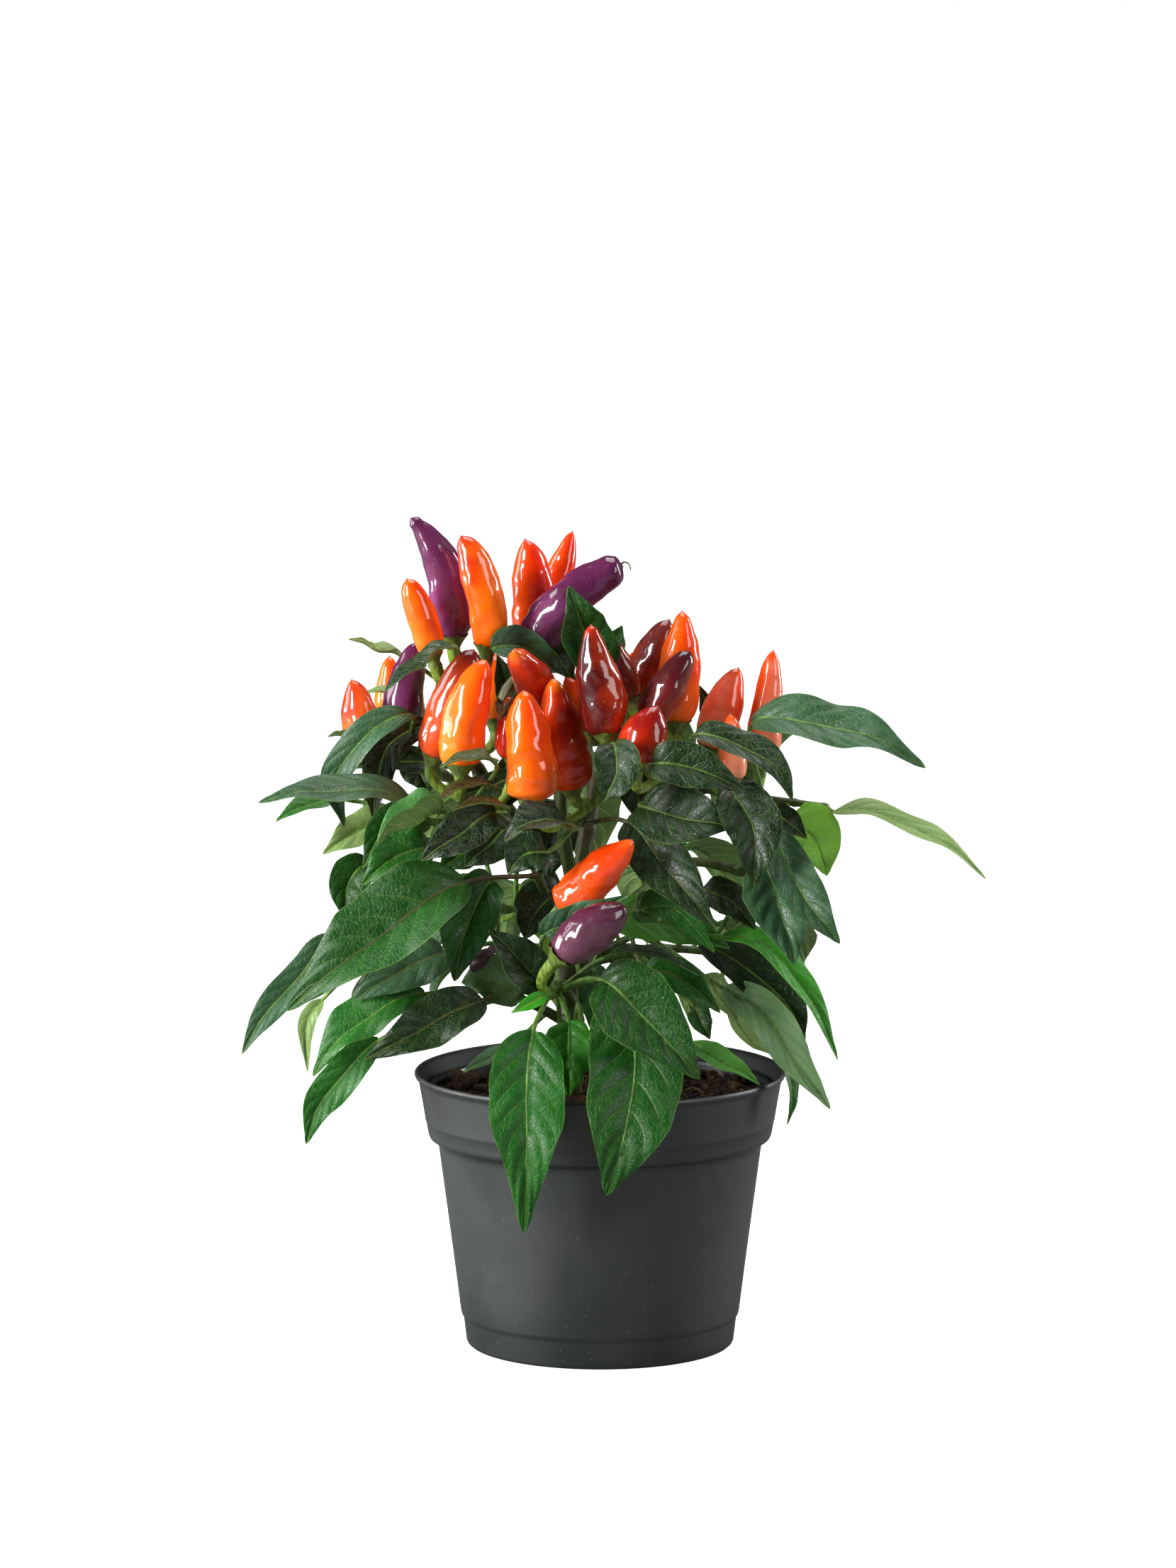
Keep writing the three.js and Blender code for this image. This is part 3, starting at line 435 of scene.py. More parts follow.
def rod(route, radii, face, sides, ridges=0.0, turns_of_ridge=5):
    """A round or ridged rod along a route of places and directions."""
    rings = []
    angles = 2 * np.pi * np.arange(sides) / sides
    for (at, ahead), radius in zip(route, radii):
        side, up = sides_of(ahead, face)
        bulge = radius * (1 + ridges * np.cos(turns_of_ridge * angles))
        rings.append(at + np.outer(bulge * np.cos(angles), side) + np.outer(bulge * np.sin(angles), up))
    return skin(rings)


peat, tree, shader = new_finish("peat")
coarse, fine = clouds(tree, 190.0, 6.0, 0.7), clouds(tree, 900.0, 6.0, 0.8)
strand = wire(tree, "TexWave", {
    "Vector": place_on_piece(tree), "Scale": 160.0, "Distortion": 14.0, "Detail": 4.0}).outputs[1]
brown = coated(
    tree, paint(0x0c0704), (span(tree, coarse, 0.35, 0.7), paint(0x2a190f)),
    (span(tree, strand, 0.8, 1.0, 0.0, 0.5), paint(0x402a18)),
    (marked(tree, "dryness").outputs["Fac"], paint(0x6e5234)))
crumbly = calc(tree, "ADD", coarse, times(tree, fine, 0.6))
feed(tree, shader, {
    "Base Color": brown, "Roughness": span(tree, fine, 0.3, 0.7, 0.72, 0.98),
    "Normal": bumped(tree, 0.9, 0.0012, crumbly), "Specular IOR Level": 0.2})

heap = Heap()
heap.add(*peat_body(), dryness=0.0)
for x, y, size in SOIL_LUMPS:
    heap.add(crumb(x, y, ground(x, y) + 0.35 * size, size), PEBBLE_FACES, dryness=0.12)
for _ in range(CRUMBS):
    x, y = strewn(SOIL_EDGE - 1.6)
    size = dice.choice(CRUMB_SIZES)
    shape = crumb(x, y, ground(x, y) + 0.2 * size, size)
    heap.add(shape, PEBBLE_FACES, dryness=dice.choice([0, 0.05, 0.1, 0.3]))
for _ in range(FIBRES):
    x, y = strewn(SOIL_EDGE - 6)
    way, reach, arch = dice.uniform(0, 2 * math.pi), dice.uniform(2, 5), dice.uniform(0.3, 2.2)
    ends = [(x + k * reach * math.cos(way), y + k * reach * math.sin(way)) for k in (-1, 1)]
    start, end = [(a, b, ground(a, b) + 0.2) for a, b in ends]
    middle = (x + dice.uniform(-2, 2), y + dice.uniform(-2, 2), ground(x, y) + 2 * arch)
    width = dice.uniform(0.1, 0.26)
    route = bowed(start, middle, end, np.linspace(0, 1, 7))
    heap.add(*rod(route, [width] * 7, (0.1, 0.2, 1), 5), dryness=dice.uniform(0.3, 0.9))
soil = heap.piece("peat_filling", [peat], sharp=70)
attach(soil, "root")
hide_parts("soil")

# The main stem
# The woody lower stem and its four limbs, ridged, green to brown, with rings where leaves grew. Its foot
# stands in the soil.

# The radii of both ends, the share of bark and the points along each limb, the trunk first.
LIMBS = [
    ((3.3, 2.6), 0.9, [(-9, 0, 64), (-9, -1, 90), (-10, -2, 120), (-8, -3, 150)]),
    ((2.3, 1.8), 0.5, [(-9, -2, 138), (-22, -6, 165), (-40, -8, 190)]),
    ((2.3, 1.8), 0.6, [(-8, -3, 144), (14, -4, 168), (36, -6, 184)]),
    ((2.3, 1.8), 0.1, [(-8, -3, 146), (-12, -12, 172), (-12, -12, 198)]),
    ((2.5, 2.2), 1, [(-9, -2, 140), (-4, 12, 166), (0, 24, 186)]),
]
THIN_STEMS = [
    [(-40, -26, 128), (-33, -30, 127), (-24, -26, 124), (-11, -4, 118)],
    [(-31, -20, 142), (-25, -24, 144), (-18, -20, 140), (-10, -3, 130)],
    [(-9, -6, 100), (-7, -9, 112), (-4, -12, 122), (1, -14, 133)],
    [(-12, -5, 98), (-13, -9, 108), (-14, -13, 118)],
    [(-6, -30, 110), (-6.5, -25, 116), (-6.5, -20, 122), (-8, -10, 130)],
]
# Colour, run of points and radii of a dried flower in two parts, a stub of old stem, a curled purple
# bud, a dried style at a fruit's tip, and the bud's own tip.
BITS = [
    (0x6a4a28, [(-33, -22, 212), (-31.5, -24, 209.6), (-28.5, -24, 208.6), (-26.5, -23, 211)],
     (0.4, 1.5, 1.2, 0.4)),
    (0x84643a, [(-32, -23, 206.5), (-30.5, -24.5, 209), (-28, -24, 213)], (0.3, 1.2, 0.5)),
    (0x9a9a66, [(-31, -3, 210), (-29, -3, 213.5), (-27, -3, 217)], (2, 2.3, 1.6)),
    (0x4c2a3c, [(-33.5, -36, 134.5), (-36.5, -38, 133), (-39.4, -38, 130.4), (-40, -35, 127.6)],
     (0.8, 2.1, 2.4, 0.8)),
    (0x6a5a3c, [(6.4, -12, 254.6), (7.8, -12.2, 255.4), (9.2, -12.2, 254.6), (9.7, -12.2, 252.8)],
     (0.34, 0.24, 0.2, 0.16)),
    (0x74506a, [(-32, -34, 136), (-34.5, -37, 134.6), (-37.5, -39.6, 133)], (0.7, 1.3, 0.5)),
]
# Place and size of the scars that old leaves left.
SCARS = [((-17, -9, 150), 2.4), ((-12, -5, 118), 2.2), ((-10, -5, 104), 1.9)]
SCAR = paint(0x8a8a4c)
STEM_GREEN = paint(0x4a6028)
TWIG_GREEN = paint(0x4a6828)
PETIOLE_GREEN = paint(0x729c3c)
STALK_GREEN = paint(0x86a834)
CALYX_GREEN = paint(0x6c8434)
BARK = paint(0x463626)
PURPLE_BROWN = paint(0x4e2a26)


def cross_way(points):
    """A direction across a run of points, for the frame of a rod along it."""
    run = np.subtract(points[-1], points[0])
    return (1, 0.3, 0) if abs(run[2]) > 0.8 * np.linalg.norm(run) else (0, 0.3, 1)


def stem_rod(points, radii, steps, sides, knots, seed):
    """A stem that swells at its knots, with its two end radii."""
    shares = np.linspace(0, 1, steps + 1)
    swell = [1 + sum(0.28 * math.exp(-((s - k) / 0.035) ** 2) for k in knots)
             + 0.05 * noise.noise(Vector((s * 9, seed, 0))) for s in shares]
    widths = [(radii[0] + (radii[1] - radii[0]) * s) * w for s, w in zip(shares, swell)]
    return rod(through(points, shares), widths, cross_way(points), sides, 0.07)


stem_finish, tree, shader = new_finish("green_stem")
drawn_out = wire(tree, "Mapping", {"Vector": place_on_piece(tree), "Scale": (900.0, 900.0, 90.0)})
streak = wire(tree, "TexNoise", {"Vector": drawn_out.outputs[0], "Scale": 1.0, "Detail": 4.0}).outputs[0]
patch = clouds(tree, 130.0, 3.0)
barky = times(tree, marked(tree, "bark").outputs["Fac"], span(tree, patch, 0.3, 0.62))
hue = coated(tree, marked(tree, "tint").outputs["Color"],
             (span(tree, streak, 0.35, 0.65, 0.0, 0.6), paint(0x25301a)), (barky, BARK))
feed(tree, shader, {
    "Base Color": hue, "Roughness": span(tree, patch, 0.2, 0.8, 0.38, 0.6),
    "Normal": bumped(tree, 0.35, 0.0004, streak), "Specular IOR Level": 0.4})

heap = Heap()
for k, (radii, bark, points) in enumerate(LIMBS):
    knots = (0.3, 0.52, 0.72, 0.95) if k == 0 else (0.04, 0.5, 0.97)
    heap.add(*stem_rod(points, radii, 60 if k == 0 else 34, 20, knots, k), tint=STEM_GREEN, bark=bark)
for points in THIN_STEMS:
    heap.add(*stem_rod(points, (0.95, 0.75), 16, 12, (0.05,), 3), tint=PETIOLE_GREEN, bark=0.3)
for place, size in SCARS:
    ends = np.array(place) + np.outer([-1, 0, 1, 1.5], (-0.35, -0.9, 0.3)) * size
    heap.add(*rod([(end, unit(ends[-1] - ends[0])) for end in ends], np.array([0.8, 1, 0.8, 0.4]) * size,
                  (0, 0, 1), 14, 0.05), tint=SCAR, bark=0.35)
for code, points, radii in BITS:
    run = np.linspace(0, 1, 12)
    spread = np.interp(run, np.linspace(0, 1, len(radii)), radii)
    heap.add(*rod(through(points, run), spread, cross_way(points), 14, 0.16), tint=paint(code), bark=0.15)
main_stem = heap.piece("woody_stem", [stem_finish])
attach(main_stem, "root")
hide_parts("main_stem")

# The leafy shoots
# Each shoot is a green twig with its leaves: a channelled petiole and a thin satin blade, folded along
# a raised midrib, quilted between curved side veins and wavy at the edge. Fruit stalks grow from it too.

# Where a leaf's upper face looks.
FLAT, TOPSIDE, SLOPED = (0, -0.2, 1), (0, -0.4, 0.9), (0, -0.7, 0.7)
FRONT, UPRIGHT, TURNED = (0, -0.9, 0.4), (0, -1, 0.2), (0, 0.8, 0.6)
OUTWARDS = (0, -1, 0.1)
# A blade's thickness at its midrib, the share of its length where it is widest, the half width from
# which it is fully arched, and the depth of the groove over its midrib.
BLADE = 0.34
WIDEST = 0.4
FULL_FORM = 4
GROOVE = 0.25
# How far a blade swells between its side veins, for its width and at most, and the crease along a vein
# as a share of that.
QUILT_FOR_WIDTH, MOST_QUILT = 0.034, 0.78
CREASE = 0.16
# How far the side veins lag towards the edge, how they curve, and their shift on the right and left.
VEIN_LAG, VEIN_CURVE = 0.24, 1.25
VEIN_SHIFTS = (0.15, -0.1)
# The calyx begins this far below a fruit's base.
CALYX_NECK = 2.6
# The leaves' greens, partly their own colour and partly painted light: lit, and in part bright, paint light
# shining through a leaf from behind; dark and black darken leaves deep in the foliage with painted shade;
# grey, sage, moss and pale are partly a painted sheen.
LEAF_TONES = {
    "deep": 0x0a4a0b, "mid": 0x0e5c0e, "bright": 0x2a8a0a, "light": 0x4c9232, "pale": 0x8aa862,
    "grey": 0x30583a, "dark": 0x092a0b, "black": 0x081b0c, "bronze": 0x453016, "sage": 0x5c8056,
    "fresh": 0x44803c, "lit": 0x86c444, "drab": 0x3c4822, "moss": 0x7ea472,
}
SHOOTS = []


def shoot(name, radii, *points):
    """A new shoot with its twig: the radii of the twig's two ends and the points along it."""
    SHOOTS.append(SimpleNamespace(name=name, twigs=[(radii, points)], leaves=[], fruits=[]))


def side_twig(radii, *points):
    """One more twig of the same shoot."""
    SHOOTS[-1].twigs.append((radii, points))


def leaf(share, tone, width, *points, face=FRONT, fold=18, twig=0, brown=0):
    """A leaf at a share of its twig: points along its midrib, where it faces, its fold in degrees."""
    foot = through(SHOOTS[-1].twigs[twig][1], [share])[0][0]
    SHOOTS[-1].leaves.append(SimpleNamespace(
        foot=foot, tone=tone, width=width, points=points, face=face, fold=fold, brown=brown))


def fruit(share, form, skin_name, width, base, tip, bend=(0, 0, 0)):
    """A fruit at a share of its twig, from its base to its tip, with its middle pulled aside."""
    foot = through(SHOOTS[-1].twigs[0][1], [share])[0][0]
    base, tip, bend = np.array([base, tip, bend], float)
    middle = (base + tip) / 2 + bend
    SHOOTS[-1].fruits.append(SimpleNamespace(
        foot=foot, form=form, skin=skin_name, width=width, base=base, tip=tip, middle=middle))


shoot("top_left", (1.7, 1.3), (-39, -8, 186), (-42, -1, 204), (-44, -4, 218))
leaf(0.7, "pale", 10, (-63, -2, 224), (-71, -6, 227), (-80, -12, 231), face=FLAT)
leaf(0.8, "dark", 12, (-47, -34, 231), (-56, -35, 226), (-68, -38, 217), face=FLAT)
fruit(0.92, "horn", "rosy", 13.2, (-47, -6, 230), (-60, -10, 269), bend=(7, 0, 7))
fruit(1, "long", "flame", 12, (-36, -17, 228), (-44, -17, 264), bend=(6, 0, 2))
fruit(0.85, "long", "orange", 9.6, (-53, -21, 226), (-61, -24, 251), bend=(1, 0, 1))

shoot("far_left", (1.7, 1.3), (-32, -7, 178), (-50, -5, 186), (-64, -8, 190))
leaf(0.8, "pale", 8, (-58, 4, 210), (-67, 4, 212), (-76, 2, 212), face=FLAT)
leaf(0.95, "mid", 6, (-77, -24, 201), (-81, -27, 202), (-86, -30, 202), face=FLAT)
leaf(1, "grey", 12, (-60, -26, 208), (-73, -32, 203), (-84, -33, 188), (-81, -30, 173), face=SLOPED)
leaf(0.9, "black", 12, (-55, -16, 203), (-67, -22, 198), (-71, -24, 186), (-72, -26, 175))
leaf(0.7, "dark", 11, (-52, -8, 189), (-65, -14, 192), (-79, -18, 190), face=SLOPED)
leaf(0.4, "black", 14, (-59, 6, 193), (-58, 4, 187), (-55, 3, 179))
fruit(0.85, "spear", "violet", 12.6, (-65, -8, 201), (-59, -8, 229))
fruit(0.8, "spear", "orange", 9, (-68, 14, 203), (-68, 15, 222))
fruit(1, "spear", "sunset", 12.2, (-75, -14, 197), (-79, -16, 218), bend=(1, 0, 0))

shoot("left", (1.7, 1.2), (-22, -6, 163), (-42, -14, 170), (-58, -20, 174))
leaf(1, "grey", 17, (-57, -34, 178), (-73, -45, 187), (-90, -51, 187), (-107, -54, 184), face=TOPSIDE,
     fold=10)
leaf(0.95, "mid", 10, (-78, -14, 179), (-92, -20, 179), (-103, -24, 174), face=TOPSIDE)
leaf(0.9, "pale", 12, (-65, -18, 175), (-77, -24, 171), (-88, -28, 164))
leaf(0.8, "fresh", 18.5, (-50, -46, 180), (-59, -50, 177), (-70, -52, 171), face=FLAT, fold=62)
leaf(0.7, "deep", 13, (-54, -32, 175), (-66, -36, 175), (-75, -38, 161))
leaf(0.6, "mid", 14, (-53, -40, 168), (-64, -46, 166), (-75, -48, 157))

shoot("left_big", (1.8, 1.4), (-9, -2, 128), (-16, -18, 146), (-20, -34, 158))
side_twig((1.4, 1.1), (-14, -12, 140), (-40, -18, 146), (-62, -20, 142))
leaf(1, "deep", 31, (-42, -48, 158), (-59, -58, 150), (-77, -62, 137), (-98, -60, 119),
     face=(-0.25, -0.85, 0.6), fold=20, brown=0.8)
leaf(0.9, "deep", 14, (-74, -20, 159), (-80, -24, 154), (-81, -26, 142), twig=1)
leaf(1, "grey", 11, (-85, -22, 137), (-95, -26, 125), (-107, -29, 112), (-114, -30, 100), twig=1)
leaf(0.95, "pale", 6, (-88, -32, 118), (-93, -34, 111), (-93, -34, 95), twig=1)
leaf(0.7, "grey", 17, (-49, -32, 134), (-61, -36, 129), (-78, -40, 119), twig=1, brown=0.6)
leaf(0.95, "black", 15, (-33, -46, 179), (-44, -54, 174), (-56, -56, 166), brown=0.4)
leaf(0.7, "dark", 15, (-29, -24, 171), (-35, -28, 167), (-43, -28, 160))
leaf(0.25, "mid", 13, (-28, 2, 169), (-33, 0, 166), (-38, -2, 161), twig=1)
leaf(0.35, "deep", 12, (-40, -1, 163), (-45, -3, 160), (-52, -5, 155), twig=1)
leaf(0.5, "dark", 17, (-13, -20, 150), (-20, -28, 146), (-24, -30, 137))
leaf(0.5, "deep", 13, (-47, -24, 144), (-56, -26, 138), (-65, -26, 131), twig=1)

shoot("left_lower", (1.8, 1.2), (-9, -1, 104), (-22, -16, 114), (-34, -28, 121))
leaf(1, "dark", 17, (-37, -46, 120), (-49, -52, 116), (-60, -55, 110), (-74, -57, 103), brown=0.7)
leaf(0.9, "mid", 20, (-55, -34, 120), (-68, -40, 117), (-80, -42, 109), (-91, -42, 95),
     face=(-0.3, -0.7, 0.7))
leaf(0.75, "mid", 13, (-70, -20, 103), (-81, -24, 93), (-90, -26, 82), (-94, -26, 70))
leaf(0.95, "deep", 18, (-34, -40, 157), (-42, -46, 144), (-46, -46, 126))
leaf(0.85, "dark", 15, (-19, -46, 124), (-25, -54, 134), (-35, -56, 144), brown=0.5)
leaf(0.8, "sage", 17, (-25, -34, 120), (-35, -36, 125), (-44, -36, 124))
leaf(0.3, "grey", 8, (-30, -4, 97), (-36, -6, 94), (-44, -8, 90), face=(0, -0.3, 0.9))

shoot("front_low", (1.9, 1.5), (-9, -2, 112), (-12, -22, 120), (-16, -42, 121))
leaf(1, "mid", 25, (-21, -55, 112), (-23, -64, 96), (-23, -67, 79), (-24, -64, 49), face=UPRIGHT, fold=14)
leaf(0.85, "deep", 31, (5, -46, 126), (11, -57, 104), (8, -67, 83), (2, -64, 61), face=(0.1, -1, 0.2),
     fold=10)
leaf(0.7, "bright", 16, (-10, -44, 113), (-10, -50, 103), (-10, -50, 90), face=UPRIGHT, fold=14)
leaf(0.8, "deep", 26, (0, -54, 128), (13, -61, 118), (31, -64, 98), fold=14)
leaf(0.95, "grey", 12, (-18, -50, 141), (-8, -52, 146), (9, -55, 155), face=(0, -1, -0.15), fold=6)
leaf(0.6, "dark", 9, (1, -38, 132), (15, -44, 135), (31, -46, 128), face=FLAT)
leaf(0.5, "deep", 11, (-3, -26, 127), (-2, -30, 119), (-3, -30, 108))
leaf(0.9, "bright", 5, (-17, -54, 123), (-22, -57, 121), (-28, -58, 118))
fruit(0.9, "cone", "vermilion", 14.2, (-11, -43, 150), (10, -54, 172))
fruit(1, "egg", "grape", 15, (-13, -59, 136), (8, -64, 152), bend=(-1, 0, 2))

shoot("centre", (1.7, 1.3), (-12, -12, 168), (-6, -20, 174), (2, -21, 184))
leaf(0.5, "black", 17, (-9, -50, 175), (-19, -60, 180), (-30, -62, 173), face=TOPSIDE)
leaf(0.4, "dark", 14, (-17, -52, 168), (-24, -57, 168), (-29, -58, 162))
leaf(0.7, "dark", 15, (4, -51, 202), (5, -60, 194), (1, -59, 185))
leaf(0.3, "dark", 19, (8, -32, 175), (20, -45, 163), (36, -52, 144), brown=0.6)
leaf(0.15, "dark", 20, (-13, 0, 176), (-17, -4, 165), (-19, -6, 150))
fruit(0.8, "lobed", "orange", 16.5, (-21, -43, 184), (-24, -45, 218))
fruit(0.85, "lobed", "ember", 15, (-9, -27, 185), (-15, -29, 220))
fruit(1, "pear", "maroon", 15, (2, -37, 203), (-3, -38, 238))

shoot("centre_left", (1.9, 1.5), (-26, -7, 169), (-38, -18, 177), (-45, -24, 182))
leaf(0.7, "drab", 10, (-33, -50, 196), (-41, -53, 198), (-50, -53, 195), face=FLAT)
leaf(0.5, "bronze", 8, (-32, -38, 186), (-43, -44, 188), (-52, -48, 182), face=FLAT)
leaf(0.4, "bronze", 7, (-29, -48, 181), (-37, -53, 184), (-46, -57, 182), face=FLAT)
leaf(0.2, "dark", 13, (-25, -8, 191), (-30, -12, 183), (-33, -14, 174))
leaf(0.3, "dark", 9, (-27, -13, 186), (-37, -14, 183), (-47, -14, 180))
fruit(0.9, "long", "crimson", 13.6, (-53, -22, 194), (-40, -28, 229), bend=(-1.5, 0, 0))
fruit(1, "taper", "amber", 14.6, (-44, -39, 193), (-36, -39, 227), bend=(-4, 0, 0))
fruit(0.4, "spear", "red", 10, (-28, -18, 193), (-29, -18, 213))

shoot("top", (1.7, 1.3), (-12, -11, 194), (-6, 0, 208), (-12, -1, 224))
leaf(0.7, "deep", 17, (0, -22, 221), (-5, -31, 235), (-10, -35, 250))
leaf(0.6, "mid", 7, (4, -2, 223), (5, -2, 229), (7, -2, 234))
leaf(0.85, "dark", 12, (-18, -1, 228), (-13, -6, 224), (-9, -8, 217))
leaf(0.95, "grey", 13, (-34, -25, 229), (-24, -19, 229), (-14, -12, 220))
leaf(0.2, "dark", 9, (-27, 5, 205), (-30, 3, 215), (-33, 2, 224))
fruit(1, "bullet", "scarlet", 13, (-23, 6, 228), (-24, 4, 261), bend=(4, 0, 0))
fruit(0.95, "spear", "scarlet", 10, (-18, 19, 232), (-9, 19, 262))
fruit(1, "club", "violet", 14.5, (-22, -9, 229), (7, -12, 254), bend=(0, 0, 8))
fruit(0.3, "nibbed", "cherry", 12, (-16, -12, 208), (-27, -37, 230))
fruit(0.25, "spear", "orange", 9, (-3, -17, 204), (-11, -17, 219))
fruit(0.4, "spear", "plum", 9, (10, -16, 212), (4, -18, 231))

shoot("right_centre", (1.7, 1.3), (10, -4, 164), (16, -18, 178), (19, -22, 190))
leaf(0.9, "dark", 15.5, (16, -54, 196), (28, -59, 196), (45, -57, 188))
leaf(0.6, "dark", 22, (13, -42, 181), (26, -52, 179), (41, -54, 176), brown=0.4)
leaf(0.5, "dark", 13, (13, -14, 192), (12, -18, 183), (13, -18, 172))
leaf(0.8, "dark", 7, (38, 6, 200), (35, 5, 206), (32, 3, 214))
fruit(0.85, "bullet", "brick", 12.5, (11, -3, 211), (22, -4, 236))
fruit(0.95, "drawn", "orange", 14, (24, -17, 204), (26, -17, 240))
fruit(1, "taper", "plum", 12.2, (15, -32, 207), (28, -31, 229))
fruit(0.9, "cone", "garnet", 14.6, (12, -43, 196), (18, -44, 213), bend=(-1, 0, 1))

shoot("right", (1.7, 1.3), (34, -6, 182), (44, -12, 181), (52, -15, 180))
side_twig((1.3, 1), (50, -14, 180), (62, -18, 179), (72, -20, 178))
leaf(1, "grey", 18, (48, -26, 205), (65, -36, 207), (83, -42, 204), (102, -46, 194), face=SLOPED, fold=16)
leaf(0.5, "dark", 12.5, (29, -46, 204), (42, -50, 202), (54, -54, 196), (60, -56, 185), face=(0, -0.6, 0.8))
leaf(1, "pale", 11.5, (74, -24, 177), (88, -28, 177), (107, -32, 169), (122, -34, 157),
     face=(0, -0.35, 0.95), fold=14, twig=1)
leaf(0.4, "lit", 19, (60, -22, 175), (68, -26, 169), (72, -28, 157), twig=1)
leaf(0.75, "dark", 19, (41, -46, 187), (48, -55, 176), (48, -56, 158))
leaf(0.9, "dark", 9, (53, -36, 180), (59, -40, 176), (65, -42, 171))
fruit(0.2, "spear", "coral", 13.2, (35, -9, 195), (44, -9, 221))
fruit(0.65, "spear", "salmon", 9, (42, -32, 188), (41, -32, 209))
fruit(0.9, "spear", "blush", 10.6, (51, -13, 190), (55, -13, 227))

shoot("right_low", (1.9, 1.4), (-8, -3, 128), (14, -14, 150), (28, -20, 160), (47, -28, 158))
side_twig((1.4, 1), (-9, -2, 118), (4, -14, 132), (16, -22, 139))
leaf(1, "grey", 15, (54, -44, 172), (60, -51, 161), (67, -56, 150), (75, -58, 140))
leaf(0.92, "grey", 22, (51, -40, 163), (56, -45, 151), (61, -49, 132))
leaf(1, "bright", 12, (38, -32, 138), (53, -40, 136), (65, -44, 122), (75, -46, 101), face=(0.3, -0.6, 0.7),
     twig=1)
leaf(0.95, "dark", 15, (31, -24, 135), (48, -28, 126), (60, -30, 115), (65, -30, 103), twig=1)
leaf(0.85, "moss", 14, (39, -28, 121), (52, -36, 114), (62, -40, 99), (73, -40, 84), twig=1)
leaf(0.4, "mid", 12, (11, -36, 147), (22, -40, 149), (36, -44, 135))
leaf(0.3, "light", 16, (3, -24, 144), (22, -27, 142), (41, -30, 134))
leaf(0.75, "mid", 12, (14, -34, 129), (25, -38, 126), (38, -40, 115), twig=1, brown=0.5)
leaf(0.65, "dark", 12, (32, -36, 154), (41, -40, 151), (49, -42, 142))
leaf(0.9, "pale", 10, (33, -16, 123), (38, -18, 117), (44, -18, 108), face=TURNED, twig=1)
leaf(0.6, "deep", 8, (30, -22, 114), (32, -25, 110), (35, -26, 104), twig=1)

shoot("right_back", (1.7, 1.1), (-8, -2, 124), (20, 6, 128), (44, 6, 126))
leaf(0.5, "light", 10, (29, -14, 101), (39, -20, 96), (51, -24, 89), face=(0, -0.5, 0.8))
leaf(1, "mid", 8, (57, -22, 101), (61, -26, 90), (60, -24, 76), face=(0.8, -0.5, 0.3))
leaf(0.9, "pale", 7, (41, -10, 112), (48, -12, 102), (57, -14, 96), face=TURNED)
leaf(0.9, "deep", 20, (52, 20, 136), (62, 32, 132), (66, 42, 116), face=(0.5, 0.4, 0.8))
leaf(0.7, "mid", 20, (36, 28, 132), (46, 46, 124), (50, 56, 104), face=(0.4, 0.7, 0.7))
leaf(0.8, "deep", 17, (50, 12, 148), (60, 16, 142), (68, 18, 124), face=(0.8, 0.1, 0.6))
leaf(0.85, "deep", 18, (50, -4, 140), (60, -6, 134), (64, -8, 119), face=(0.9, -0.1, 0.4))
leaf(0.35, "deep", 18, (22, 18, 116), (28, 30, 110), (30, 38, 98), face=(0.5, 0.7, 0.5))
leaf(0.6, "dark", 17, (34, 0, 148), (43, 2, 141), (47, 4, 126), face=(0.7, 0.3, 0.5))

shoot("back_left", (1.7, 1.2), (-29, -7, 175), (-42, 8, 182), (-50, 22, 190))
leaf(1, "deep", 20, (-60, 40, 198), (-70, 54, 192), (-76, 64, 172), face=(-0.4, 0.5, 0.9))
leaf(0.85, "mid", 16, (-60, 18, 197), (-70, 26, 197), (-80, 32, 185), face=(-0.3, 0.2, 1))
leaf(0.7, "dark", 22, (-50, 44, 176), (-54, 60, 166), (-58, 70, 144), face=(-0.4, 0.8, 0.6))
leaf(0.5, "deep", 18, (-56, 26, 170), (-66, 38, 162), (-71, 44, 146), face=(-0.6, 0.4, 0.7))
leaf(0.25, "deep", 18, (-50, 4, 164), (-62, 4, 158), (-68, 6, 140), face=(-0.9, 0.1, 0.5))
leaf(0.75, "mid", 15, (-60, 8, 188), (-70, 10, 184), (-76, 12, 170), face=(-0.9, 0.1, 0.5))
fruit(1, "spear", "red", 11, (-46, 26, 198), (-51, 30, 216))
fruit(0.9, "long", "orange", 12, (-34, 22, 200), (-36, 26, 222))

shoot("back", (1.7, 1.2), (0, 23, 184), (-4, 30, 190), (-6, 36, 196))
leaf(1, "mid", 22, (-14, 54, 196), (-22, 70, 186), (-26, 80, 164), face=(-0.2, 0.8, 0.7))
leaf(0.85, "deep", 24, (8, 52, 198), (20, 70, 190), (26, 82, 168), face=(0.2, 0.7, 0.8))
leaf(0.4, "dark", 24, (-4, 52, 178), (-4, 70, 164), (-4, 78, 140), face=(0, 0.9, 0.5))
fruit(1, "plump", "violet", 13, (-6, 36, 206), (-4, 40, 226))
fruit(0.9, "long", "scarlet", 12, (-20, 32, 200), (-24, 36, 219))
fruit(0.7, "plump", "orange", 12, (9, 28, 202), (13, 32, 222))

